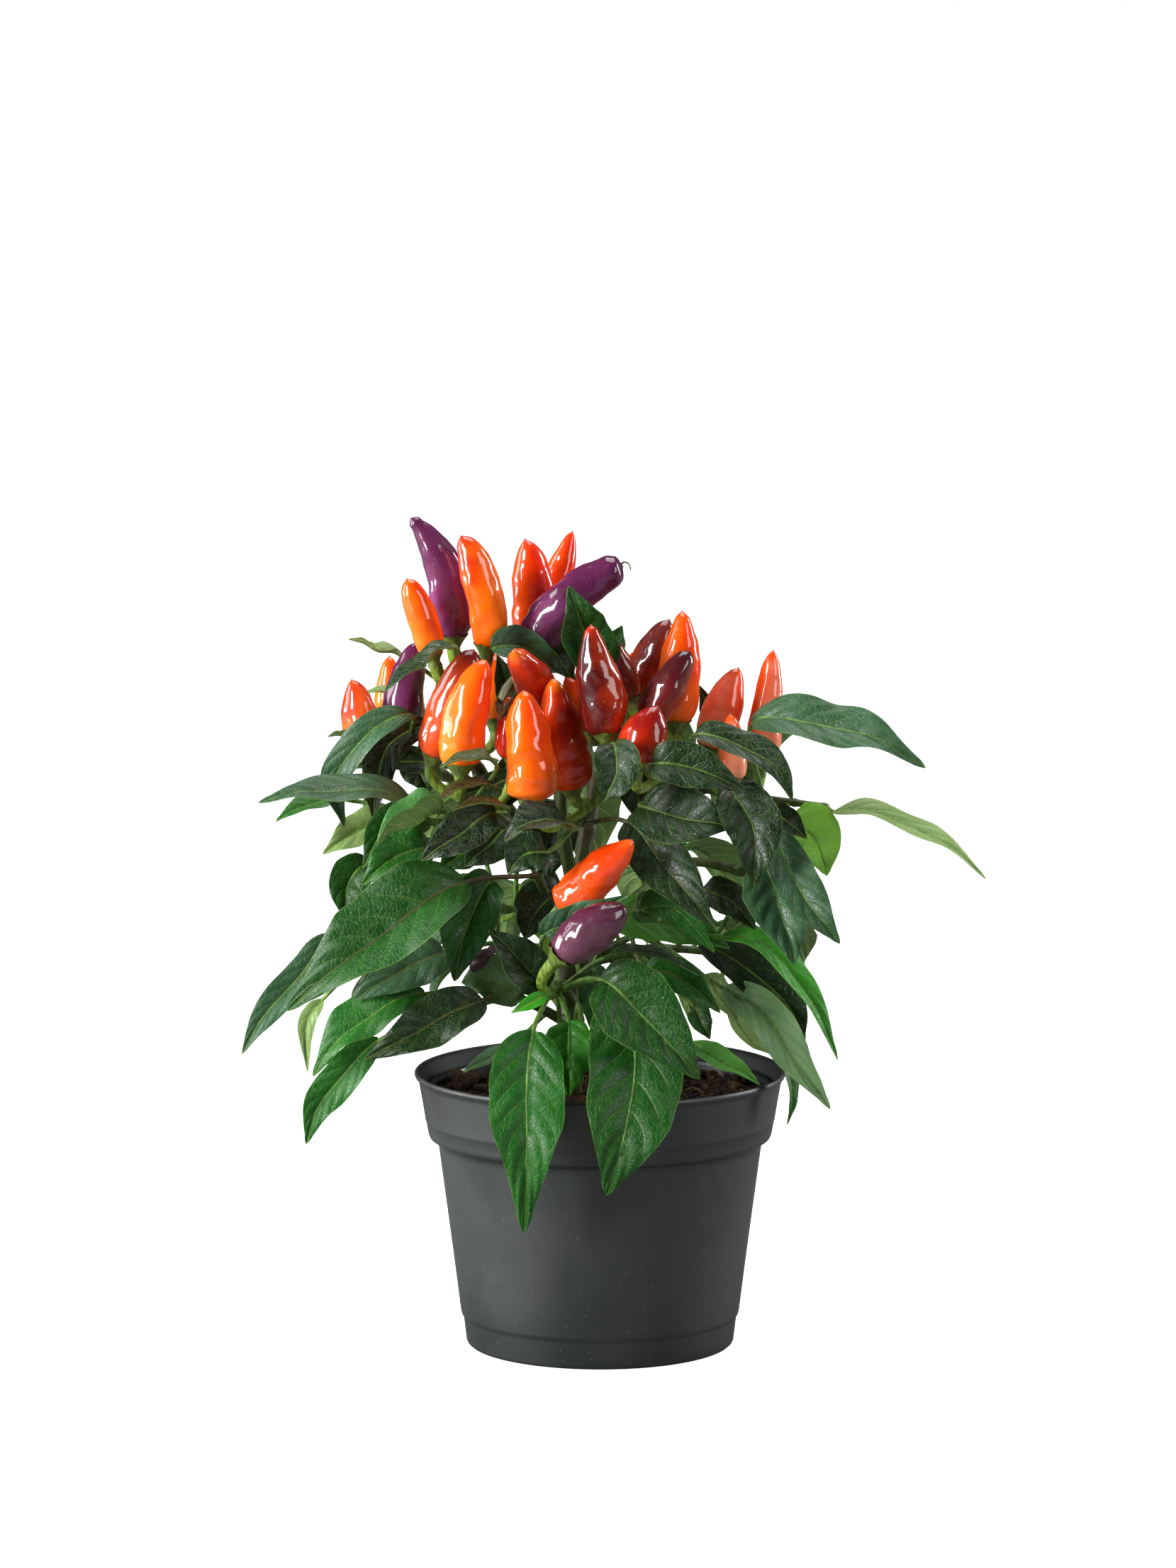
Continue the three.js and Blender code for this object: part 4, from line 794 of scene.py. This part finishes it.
shoot("back_right", (1.7, 1.2), (20, -4, 170), (32, 12, 180), (42, 24, 184))
leaf(1, "deep", 20, (40, 42, 186), (44, 56, 180), (46, 64, 162), face=(0.4, 0.5, 0.9))
leaf(0.85, "mid", 16, (56, 16, 192), (70, 26, 200), (86, 34, 197), face=(0.3, 0.2, 1))
leaf(0.6, "grey", 22, (42, 44, 176), (46, 60, 166), (50, 70, 146), face=(0.4, 0.8, 0.6))
leaf(0.5, "dark", 18, (52, 24, 170), (62, 34, 162), (68, 40, 146), face=(0.6, 0.4, 0.7))
leaf(0.4, "mid", 18, (44, 4, 166), (56, 6, 162), (62, 8, 146), face=(0.8, 0.1, 0.6))
fruit(0.95, "spear", "red", 12, (38, 20, 190), (38, 22, 209))
fruit(0.6, "pear", "maroon", 11, (24, 16, 202), (24, 18, 226))

shoot("back_low_left", (1.7, 1.1), (-9, -2, 116), (-20, 18, 132), (-34, 32, 138))
leaf(1, "mid", 22, (-44, 44, 144), (-56, 54, 138), (-64, 60, 118), face=(-0.5, 0.6, 0.7))
leaf(0.8, "deep", 20, (-26, 50, 142), (-30, 66, 132), (-32, 74, 112), face=(-0.2, 0.9, 0.5))
leaf(0.6, "dark", 18, (-48, 22, 140), (-62, 30, 136), (-74, 34, 120), face=(-0.5, 0.3, 0.8))
leaf(0.4, "mid", 17, (-46, 6, 152), (-58, 8, 147), (-68, 8, 130), face=(-0.8, 0.1, 0.6))
leaf(0.35, "mid", 17, (-38, 2, 130), (-48, 0, 124), (-54, -2, 110), face=(-0.9, -0.1, 0.4))
leaf(0.9, "dark", 16, (-64, -8, 130), (-74, -10, 122), (-78, -12, 106), face=(-0.9, -0.1, 0.4))
leaf(0.3, "deep", 18, (-10, 30, 120), (-12, 42, 112), (-12, 50, 98), face=(0, 0.8, 0.5))

shoot("back_low", (1.7, 1.1), (-8, -2, 132), (2, 20, 146), (8, 34, 150))
leaf(1, "deep", 22, (10, 54, 152), (14, 70, 142), (16, 78, 118), face=(0.1, 0.9, 0.5))
leaf(0.8, "mid", 20, (26, 46, 154), (38, 60, 150), (46, 68, 130), face=(0.4, 0.7, 0.7))
leaf(0.4, "mid", 18, (8, 24, 124), (12, 36, 116), (14, 44, 102), face=(0.2, 0.8, 0.5))


def half_width(s, width):
    """Half the width of a blade at a share of its length: ovate, with a drawn-out tip."""
    rise = (s / WIDEST) ** 0.55
    fall = ((1 - s) / (1 - WIDEST)) ** 0.825
    drawn = 1 - 0.3 * held((s - 0.62) / 0.3) * (1 if s < 0.92 else (1 - s) / 0.08)
    return width / 2 * rise * fall * drawn


def arched(s, sway, half):
    """How far a blade lifts and sinks along its length, less where it is narrow."""
    return sway * math.sin(3 * math.pi * s) * min(1, half / FULL_FORM)


def grow_leaf(heap, one, seed):
    """A petiole and midrib as one tapering rod, and the blade as a thin closed shell."""
    points = [one.foot, *one.points]
    neck = 1 / (len(points) - 1)
    chance = random.Random(seed)
    length = sum(np.linalg.norm(np.subtract(a, b)) for a, b in zip(points[1:], points[2:]))
    steps = int(min(max(length / 1.15, 16), 62))
    turn = math.radians(one.fold)
    pairs = 7 if length > 40 else 6 if length > 25 else 5
    phase = [chance.uniform(0, 6.28) for _ in range(6)]
    sway = min(1, one.width / 18)
    ripple = chance.uniform(0.5, 1.1) * sway * math.cos(turn)
    twist = math.radians(chance.uniform(-7, 7))
    quilt = min(QUILT_FOR_WIDTH * one.width, MOST_QUILT)
    # Across the blade, from the right edge to the left over the top and back underneath.
    lanes = 17 if one.width > 11 else 13
    lane = np.concatenate([np.linspace(1, -1, lanes), np.linspace(-1, 1, lanes)])
    lane = np.sign(lane) * np.abs(lane) ** 0.85
    top = np.repeat([1.0, 0.0], lanes)
    v = np.abs(lane)
    rings, places = [], []
    for k in range(steps + 1):
        s = 0.012 + 0.988 * k / steps
        at, ahead = through(points, [neck + (1 - neck) * s])[0]
        side, up = sides_of(ahead, one.face)
        roll = twist * s * s
        side, up = side * math.cos(roll) + up * math.sin(roll), up * math.cos(roll) - side * math.sin(roll)
        half = max(half_width(min(s, 0.9999), one.width), 0.18)
        broad = min(1, half / FULL_FORM)
        right, left = (1 + 0.025 * math.sin(15 * s + phase[j]) + 0.012 * math.sin(33 * s + phase[j + 2])
                       for j in (0, 1))
        out = half * np.where(lane > 0, right, left)
        # The blade swells between its side veins and is creased along them.
        count = (s - VEIN_LAG * v ** VEIN_CURVE) * pairs + np.where(lane > 0, *VEIN_SHIFTS)
        away = np.abs((count % 1) - 0.5) * 2
        pillow = quilt * (0.5 + 0.5 * np.cos(np.pi * away)) * np.minimum(v * 3, 1) * (1 - v ** 6) * broad
        crease = -CREASE * quilt * np.exp(-((1 - away) / 0.16) ** 2) * np.minimum(v * 4, 1) * (1 - v ** 4)
        groove = -GROOVE * np.exp(-(v * half / 0.5) ** 2)
        right_wave, left_wave = np.sin(4.6 * math.pi * s + phase[4]), np.sin(5.2 * math.pi * s + phase[5])
        swing = np.where(lane > 0, right_wave, left_wave)
        wave = ripple * swing * v ** 2.5 * min(1, half / 5)
        folded = out * math.sin(turn) * (1.3 * v - 0.3 * v * v)
        rise = folded + arched(s, sway, half) + pillow + wave + groove + crease * broad
        thick = BLADE * (1 - 0.45 * v ** 4) / 2
        rise = rise + np.where(top > 0.5, thick, -thick)
        rings.append(at + np.outer(lane * out * math.cos(turn), side) + np.outer(rise, up))
        places.append(np.stack([np.full(len(lane), pairs), lane * out, np.full(len(lane), s)], 1))
    tone = np.array(paint(LEAF_TONES[one.tone]))
    tone[:3] *= chance.uniform(0.9, 1.12)
    heap.add(*skin(rings), 1, tint=tone, leaf_place=np.concatenate(places),
             leaf_edge=np.tile(v, steps + 1), leaf_top=np.tile(top, steps + 1))
    big = min(1, one.width / 14)
    widths, route = [], []
    for t in (*np.linspace(0, neck, 9), *(neck + (1 - neck) * np.linspace(0.04, 0.9, 22))):
        at, ahead = through(points, [t])[0]
        if t <= neck:
            widths.append((0.78 + 0.5 * max(0, 0.02 - t) / 0.02) * (0.8 + 0.2 * big))
            route.append((at, ahead))
            continue
        s = (t - neck) / (1 - neck)
        widths.append((0.62 * big + 0.1) * (1 - s) ** 0.8 + 0.06)
        lift = arched(s, sway, half_width(max(s, 1e-4), one.width)) - 0.45 * widths[-1]
        route.append((at + sides_of(ahead, one.face)[1] * lift, ahead))
    rib = np.array(PETIOLE_GREEN) * 0.65 + tone * 0.35
    rib += (np.array(PURPLE_BROWN) - rib) * one.brown
    heap.add(*rod(route, widths, one.face, 10, 0.06, 3), tint=rib)


def grow_stalk(heap, one, seed):
    """A fruit's stalk, ridged and thickening upwards, and the toothed calyx that holds the fruit."""
    ahead = unit(one.middle - one.base)
    under = one.base - ahead * CALYX_NECK
    reach = np.linalg.norm(under - one.foot)
    shares = np.linspace(0, 1, 15)
    widths = [1.35 + 0.8 * s ** 1.4 + 0.4 * math.exp(-(s / 0.06) ** 2) for s in shares]
    route = bowed(one.foot, under - ahead * 0.5 * reach, under, shares)
    heap.add(*rod(route, widths, OUTWARDS, 15, 0.1), tint=STALK_GREEN, bark=0.12)
    side, up = sides_of(ahead, OUTWARDS)
    half = one.width / 2
    angles = 2 * np.pi * np.arange(40) / 40
    five = np.cos(5 * angles + seed)
    bell = 0.05 * np.linalg.norm(one.tip - one.base)
    # The cup's height, radius and the length of its teeth, up the outside and down the inside.
    cup = [(-3.2, 2.1, 0), (-2.4, 2.3, 0), (-1.6, 0.4 * half, 0), (-0.8, 0.46 * half, 0),
           (-0.1, 0.48 * half + 0.3, 0), (0.4 * bell, 0.58 * half + 0.3, 0.2),
           (0.75 * bell, 0.68 * half + 0.3, 0.8), (0.7 * bell, 0.65 * half, 0.8),
           (0.2 * bell, 0.48 * half, 0.2), (-0.6, 0.3 * half, 0)]
    rings = []
    for height, radius, tooth in cup:
        wide = max(radius, 1.3) * (1 + 0.035 * five)
        rings.append(one.base + ahead * height + np.outer(tooth * np.maximum(five, 0) ** 3, ahead)
                     + np.outer(wide * np.cos(angles), side) + np.outer(wide * np.sin(angles), up))
    heap.add(*skin(rings), tint=CALYX_GREEN, bark=0.2)


leaf_finish, tree, shader = new_finish("satin_leaf")
tint, place = marked(tree, "tint").outputs["Color"], marked(tree, "leaf_place").outputs["Vector"]
top, edge = marked(tree, "leaf_top").outputs["Fac"], marked(tree, "leaf_edge").outputs["Fac"]
pairs, aside, along = wire(tree, "SeparateXYZ", {0: place}).outputs
# The curved side veins, a row on each side of the midrib, and the net of fine veins between them.
lag = times(tree, calc(tree, "POWER", edge, VEIN_CURVE), VEIN_LAG)
on_right, apart = calc(tree, "GREATER_THAN", aside, 0.0), VEIN_SHIFTS[0] - VEIN_SHIFTS[1]
shift = calc(tree, "MULTIPLY_ADD", on_right, apart, 50.5 + VEIN_SHIFTS[1])
count = calc(tree, "ADD", times(tree, calc(tree, "SUBTRACT", along, lag), pairs), shift)
near_vein = calc(tree, "ABSOLUTE", calc(tree, "SUBTRACT", calc(tree, "FRACT", count), 0.5))
vein = times(tree, span(tree, near_vein, 0.0, 0.085, 1.0, 0.0), span(tree, edge, 0.5, 0.95, 1.0, 0.0))
from_rib = calc(tree, "ADD", calc(tree, "ABSOLUTE", aside), times(tree, along, 0.35))
net = wire(tree, "TexVoronoi", {"Vector": place_on_piece(tree), "Scale": 700.0}, feature="DISTANCE_TO_EDGE")
net = span(tree, net.outputs[0], 0.0, 0.09, 1.0, 0.0)
grains = wire(tree, "TexVoronoi", {"Vector": place_on_piece(tree), "Scale": 380.0}).outputs
grain = times(tree, span(tree, grains["Distance"], 0.05, 0.1, 1.0, 0.0),
              calc(tree, "GREATER_THAN", grains["Color"], 0.68))
small = clouds(tree, 420.0, 5.0, 0.65)
paler = tinge(tree, 0.35, tint, paint(0x8fb050))
duller = tinge(tree, 1.0, tint, paint(0xa8c090), "MULTIPLY")
face = coated(
    tree, tint,
    (span(tree, clouds(tree, 62.0, 3.0), 0.3, 0.7, 0.0, 0.5), duller),
    (span(tree, small, 0.4, 0.7, 0.0, 0.16), paler),
    (times(tree, net, 0.16), paler),
    (times(tree, vein, 0.25), paler),
    (times(tree, span(tree, from_rib, 0.3, 0.62, 1.0, 0.0), 0.7), tinge(tree, 0.7, tint, paint(0xa5c04c))),
    (span(tree, edge, 0.955, 1.0, 0.0, 0.6), paler),
    (times(tree, grain, 0.55), paint(0xb4c890)))
below = coated(tree, tint, (0.62, paint(0x7d9a55)),
               (calc(tree, "MAXIMUM", times(tree, net, 0.3), vein), paint(0x9db46c)))
satin = span(tree, small, 0.3, 0.75, 0.34, 0.5)
relief = calc(tree, "SUBTRACT", times(tree, small, 0.55), times(tree, net, 0.35))
relief = calc(tree, "SUBTRACT", relief, times(tree, vein, 0.9))
feed(tree, shader, {
    "Base Color": tinge(tree, top, below, face), "Specular IOR Level": 0.4,
    "Roughness": calc(tree, "ADD", satin, times(tree, calc(tree, "SUBTRACT", 1.0, top), 0.22)),
    "Normal": bumped(tree, 0.6, 0.0003, relief)})

for number, grown in enumerate(SHOOTS):
    heap = Heap(bark=0.0, leaf_place=(0, 0, 0), leaf_edge=0.0, leaf_top=0.0)
    for k, (radii, points) in enumerate(grown.twigs):
        heap.add(*stem_rod(points, radii, 20, 15, (0.5, 0.96), number + k), tint=TWIG_GREEN, bark=0.3)
    for k, one in enumerate(grown.leaves):
        grow_leaf(heap, one, 100 * number + k)
    for k, one in enumerate(grown.fruits):
        grow_stalk(heap, one, number + 2.1 * k)
    piece = heap.piece(grown.name + "_leaves", [stem_finish, leaf_finish], sharp=62)
    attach(piece, "root")
    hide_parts(grown.name + "_shoot")

# The fruits
# Upright chilli pods with a tight, very glossy skin, which ripen from violet through orange to red and
# maroon. Each is a bent, slightly lobed form with a dried nib at its tip.

# Each form of pod as points on its way up: hundredths of its length and of its full width.
FORMS = {
    "long": [(0, 42), (5, 74), (15, 95), (35, 100), (60, 96), (78, 83), (90, 62), (96.5, 38), (100, 10)],
    "horn": [(0, 42), (6, 78), (16, 97), (34, 100), (52, 92), (68, 78), (82, 54), (92, 34), (97.5, 27),
             (100, 10)],
    "bullet": [(0, 45), (6, 76), (18, 95), (38, 100), (58, 98), (74, 86), (86, 64), (95, 34), (100, 7)],
    "taper": [(0, 50), (5, 80), (15, 96), (30, 100), (45, 97), (60, 87), (72, 77), (84, 64), (92, 49),
              (97.5, 28), (100, 8)],
    "drawn": [(0, 42), (6, 74), (18, 96), (36, 100), (58, 93), (72, 77), (82, 58), (90, 43), (96.5, 27),
              (100, 8)],
    "spear": [(0, 42), (6, 76), (18, 98), (40, 100), (60, 88), (78, 67), (91, 43), (97.5, 22), (100, 7)],
    "pear": [(0, 45), (6, 78), (16, 95), (28, 100), (44, 98), (60, 90), (73, 72), (83, 52), (92, 33),
             (97.5, 20), (100, 6)],
    "plump": [(0, 50), (8, 86), (28, 100), (52, 97), (74, 80), (89, 55), (96.5, 32), (100, 9)],
    "lobed": [(0, 60), (5, 88), (15, 100), (30, 100), (44, 94), (56, 84), (68, 79), (80, 66), (90, 45),
              (97, 26), (100, 8)],
    "cone": [(0, 72), (5, 90), (15, 100), (36, 99), (56, 90), (72, 74), (85, 52), (95, 27), (100, 7)],
    "egg": [(0, 35), (7, 68), (22, 93), (42, 100), (62, 93), (80, 72), (92, 44), (97.5, 24), (100, 7)],
    "club": [(0, 50), (5, 82), (15, 98), (36, 100), (60, 90), (80, 76), (92, 63), (97.5, 42), (100, 10)],
    "nibbed": [(0, 40), (6, 74), (20, 97), (40, 100), (60, 92), (78, 75), (89, 52), (95, 26), (100, 10)],
}
# Skins as seen low on the pod, towards the tip, in the flush and at the nib, with the side where the
# flush lies: 0 is the front, 90 the right. The flush is partly the pod's own ripening colour and partly
# painted light: the pale pink flushes of sunset, coral and vermilion paint a highlight, and the pale
# grey-violet one of grape paints a reflection.
SKINS = {
    "fruit_violet": {
        "violet": (0x6e3060, 0x561c44, 0x481a3c, 0x561c44, 60),
        "rosy": (0x7a3264, 0x561c48, 0x6c3058, 0x562048, 30),
        "grape": (0x602442, 0x46122e, 0x684052, 0x46122e, 20),
    },
    "fruit_maroon": {
        "plum": (0x6a1a1a, 0x48121c, 0x96341a, 0x3c1018, 80),
        "maroon": (0x5c0e0a, 0x400a0c, 0xc43408, 0xb42810, 70),
        "brick": (0xb03a14, 0x6e2418, 0x502428, 0x6e2418, -60),
        "ember": (0xb4280e, 0xa8220c, 0xff5c0c, 0xff7414, -65),
    },
    "fruit_red": {
        "crimson": (0xd43c0c, 0x741a16, 0xe05018, 0x741a16, -40),
        "cherry": (0xdc3414, 0xcc2a0e, 0xf4582c, 0xf87010, -40),
        "red": (0xdc2a04, 0xcc1c04, 0x8a120c, 0xf87010, 80),
        "scarlet": (0xf84404, 0xec2c04, 0xff6408, 0xf04010, -60),
        "sunset": (0xff5a02, 0xdc3004, 0xff7c34, 0xe04008, 60),
        "coral": (0xff6030, 0xf4522c, 0xff9c7c, 0xe0481c, -50),
        "blush": (0xff7044, 0xff5a10, 0xff9a80, 0xff5004, 40),
        "garnet": (0xc42c08, 0x8c120c, 0x7a0e0c, 0x8c120c, 60),
    },
    "fruit_orange": {
        "flame": (0xff6a02, 0xe63004, 0xff7c08, 0xd83408, 60),
        "orange": (0xff5e02, 0xff4400, 0xff7c0c, 0xff5a08, -50),
        "amber": (0xff6404, 0xff4600, 0xff800e, 0xff5a0c, -60),
        "salmon": (0xf08858, 0xff5804, 0xffa080, 0xff5804, 40),
        "vermilion": (0xff5404, 0xfa4200, 0xf06038, 0xff6018, 50),
    },
}
SLOT_OF_SKIN = {name: slot for slot, skins in SKINS.items() for name in skins}
NIB = paint(0x7a3018)


def eased(knots, shares):
    """A smooth run of values through knots of share and value, given in hundredths."""
    x, y = np.array(knots, float).T / 100
    slope = np.gradient(y, x)
    i = np.clip(np.searchsorted(x, shares, side="right") - 1, 0, len(x) - 2)
    h = x[i + 1] - x[i]
    w = (shares - x[i]) / h
    low = (1 + 2 * w) * (1 - w) ** 2 * y[i] + w * (1 - w) ** 2 * h * slope[i]
    return low + w * w * (3 - 2 * w) * y[i + 1] + w * w * (w - 1) * h * slope[i + 1]


def pod(one, seed):
    """Points, faces and skin colours of one fruit."""
    sides, rows = 36, 44
    shares = 0.5 - 0.5 * np.cos(np.pi * np.linspace(0, 1, rows))
    shares = 0.35 * np.linspace(0, 1, rows) + 0.65 * shares
    route = bowed(one.base, one.middle, one.tip, shares)
    widths = eased(FORMS[one.form], shares) * one.width / 2
    angles = 2 * np.pi * np.arange(sides) / sides
    *codes, flush_and_highlight_side = SKINS[SLOT_OF_SKIN[one.skin]][one.skin]
    low, high, flush_and_highlight, nib = (np.array(paint(code)) for code in codes)
    chance = random.Random(seed)
    lobe, turn, dent = chance.uniform(0.015, 0.04), chance.uniform(0, 6.28), chance.uniform(0.1, 0.18)
    hook = np.array([chance.uniform(-1, 1), chance.uniform(-0.6, 0.6), 0]) * 0.09 * one.width
    if one.form == "lobed":
        lobe, dent = lobe + 0.035, 0.2
    rings, tints = [], []
    for (at, ahead), share, width in zip(route, shares, widths):
        side, up = sides_of(ahead, OUTWARDS)
        at = at + hook * (share ** 4 - share ** 9)
        ripple = lobe * np.cos(3 * angles + turn + share) * math.sin(math.pi * min(share * 1.4, 1)) ** 0.5
        ring = []
        for angle, wide in zip(angles, width * (1 + ripple)):
            way = side * math.cos(angle) + up * math.sin(angle)
            spot = Vector(at + way * wide)
            bulge = dent * noise.noise(spot * 0.11 + Vector((seed, 0, 0)))
            bulge += 0.42 * dent * noise.noise(spot * 0.28 + Vector((seed, 0, 0)))
            ring.append(at + way * wide * (1 + bulge))
            blot = noise.noise(spot * 0.16 + Vector((0, seed, 0)))
            ripe = held((share - 0.42 + 0.4 * blot) / 0.5 + 0.35)
            shade = low + (high - low) * (ripe * ripe * (3 - 2 * ripe))
            # The flush on one side: the pod's own ripening colour, and for some skins a painted highlight.
            near = math.cos(math.atan2(way[0], -way[1]) - math.radians(flush_and_highlight_side))
            flush_and_highlight_share = held((near + 0.5 * blot - 0.25) * 1.6) * (1 - 0.5 * share)
            shade = shade + (flush_and_highlight - shade) * flush_and_highlight_share * 0.85
            tints.append(shade + (nib - shade) * held((share - 0.88) / 0.08))
        rings.append(ring)
    return *skin(rings), np.array(tints)


skin_finish, tree, shader = new_finish("pepper_skin")
tint = marked(tree, "tint").outputs["Color"]
cloud, fleck = clouds(tree, 210.0, 4.0), clouds(tree, 1300.0, 2.0)
colour = coated(
    tree, tint,
    (span(tree, cloud, 0.35, 0.7, 0.0, 0.22), tinge(tree, 1.0, tint, paint(0xe8b0a0), "MULTIPLY")),
    (span(tree, fleck, 0.62, 0.8, 0.0, 0.12), paint(0xffc890)))
swellings = bumped(tree, 0.38, 0.0016, calc(tree, "ADD", clouds(tree, 95.0, 2.0), times(tree, fleck, 0.02)))
feed(tree, shader, {
    "Base Color": colour, "Roughness": span(tree, cloud, 0.3, 0.7, 0.3, 0.42), "Specular IOR Level": 0.12,
    "Coat Weight": 1.0, "Coat Roughness": 0.045, "Coat IOR": 1.52, "Subsurface Weight": 0.2,
    "Subsurface Scale": 0.004, "Normal": swellings, "Coat Normal": swellings})

for number, grown in enumerate(SHOOTS):
    for k, one in enumerate(grown.fruits):
        points, faces, tints = pod(one, 7 * number + k)
        heap = Heap()
        heap.add(points, faces, tint=tints)
        tip, ahead = bowed(one.base, one.middle, one.tip, [1])[0]
        nib = [(tip + ahead * d, ahead) for d in (-0.7, -0.1, 0.2, 0.38, 0.44)]
        heap.add(*rod(nib, [0.34, 0.3, 0.26, 0.2, 0.1], OUTWARDS, 10), tint=NIB)
        piece = heap.piece(f"{grown.name}_pepper_{k + 1}", [skin_finish], sharp=80)
        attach(piece, "root")
        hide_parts(f"{grown.name}_fruit_{k + 1}")

# The floor, the lights and the camera
# A plain white table top, lights at the sides and overhead, and a camera in front, a little above.

FLOOR_REACH = 9.0
ROOM_LIGHT = 0.07
SHADOW_GREY, MIRROR_GREY = paint(0x909090), paint(0x707070)
BLACK, WHITE = paint(0x000000), paint(0xffffff)
# Place, point aimed at, width, height and power of each softbox, in metres and watts.
SOFTBOXES = {
    "left_strip": ((-1.38, -0.9, 0.62), (0, 0, 0.17), 0.46, 1.15, 46),
    "left_wall": ((-1.7, 0.25, 0.7), (0, 0, 0.17), 0.9, 1.3, 24),
    "left_low": ((-1.2, 0.1, 0.12), (0, 0, 0.05), 0.5, 0.24, 5),
    "right_strip": ((1.5, 0.55, 0.62), (0, 0, 0.17), 0.32, 1.1, 21),
    "right_fill": ((1.3, -0.95, 0.75), (0, 0, 0.17), 0.6, 0.9, 9),
    "overhead": ((0.1, 0.35, 1.6), (0, 0, 0.1), 1.1, 1.1, 17),
}
CAMERA_PLACE = (-0.0039, -2.0, 0.45066)
CAMERA_DIP = 7.633
SENSOR = 36
FOCAL_PIXELS, PICTURE_PIXELS = 8861.4, 2212

table = bpy.data.meshes.new("table")
corners = [(x * FLOOR_REACH, y * FLOOR_REACH, 0) for x, y in ((-1, -1), (1, -1), (1, 1), (-1, 1))]
table.from_pydata(corners, [], [(0, 1, 2, 3)])
floor = bpy.data.objects.new("table_top", table)
bpy.context.scene.collection.objects.link(floor)
floor_finish, tree, shader = new_finish("white_table")
white = tinge(tree, clouds(tree, 6.0, 2.0), paint(0xf4f4f2), paint(0xf8f8f7))
rays = wire(tree, "LightPath").outputs
white = coated(tree, white, (rays["Is Diffuse Ray"], SHADOW_GREY), (rays["Is Glossy Ray"], MIRROR_GREY))
feed(tree, shader, {
    "Base Color": white, "Roughness": 0.9, "Emission Strength": 0.95,
    "Emission Color": tinge(tree, rays["Is Camera Ray"], BLACK, WHITE)})
table.materials.append(floor_finish)

world = bpy.data.worlds.new("studio")
world.use_nodes = True
tree = world.node_tree
rays = wire(tree, "LightPath").outputs
room = span(tree, rays["Is Glossy Ray"], 0.0, 1.0, ROOM_LIGHT, 0.3 * ROOM_LIGHT)
feed(tree, tree.nodes["Background"], {
    "Color": WHITE, "Strength": calc(tree, "MAXIMUM", room, rays["Is Camera Ray"])})
bpy.context.scene.world = world

for name, (place, aim, width, height, power) in SOFTBOXES.items():
    lamp = bpy.data.lights.new(name, "AREA")
    lamp.shape = "RECTANGLE"
    lamp.size, lamp.size_y, lamp.energy = width, height, power
    softbox = bpy.data.objects.new(name, lamp)
    softbox.location = place
    softbox.rotation_euler = (Vector(aim) - Vector(place)).to_track_quat("-Z", "Y").to_euler()
    bpy.context.scene.collection.objects.link(softbox)

camera = bpy.data.objects.new("camera", bpy.data.cameras.new("camera"))
camera.location = CAMERA_PLACE
camera.rotation_euler = (math.radians(90 - CAMERA_DIP), 0, 0)
camera.data.sensor_width = SENSOR
camera.data.lens = SENSOR * FOCAL_PIXELS / PICTURE_PIXELS
bpy.context.scene.collection.objects.link(camera)
bpy.context.scene.camera = camera
bpy.context.scene.view_settings.view_transform = "Standard"
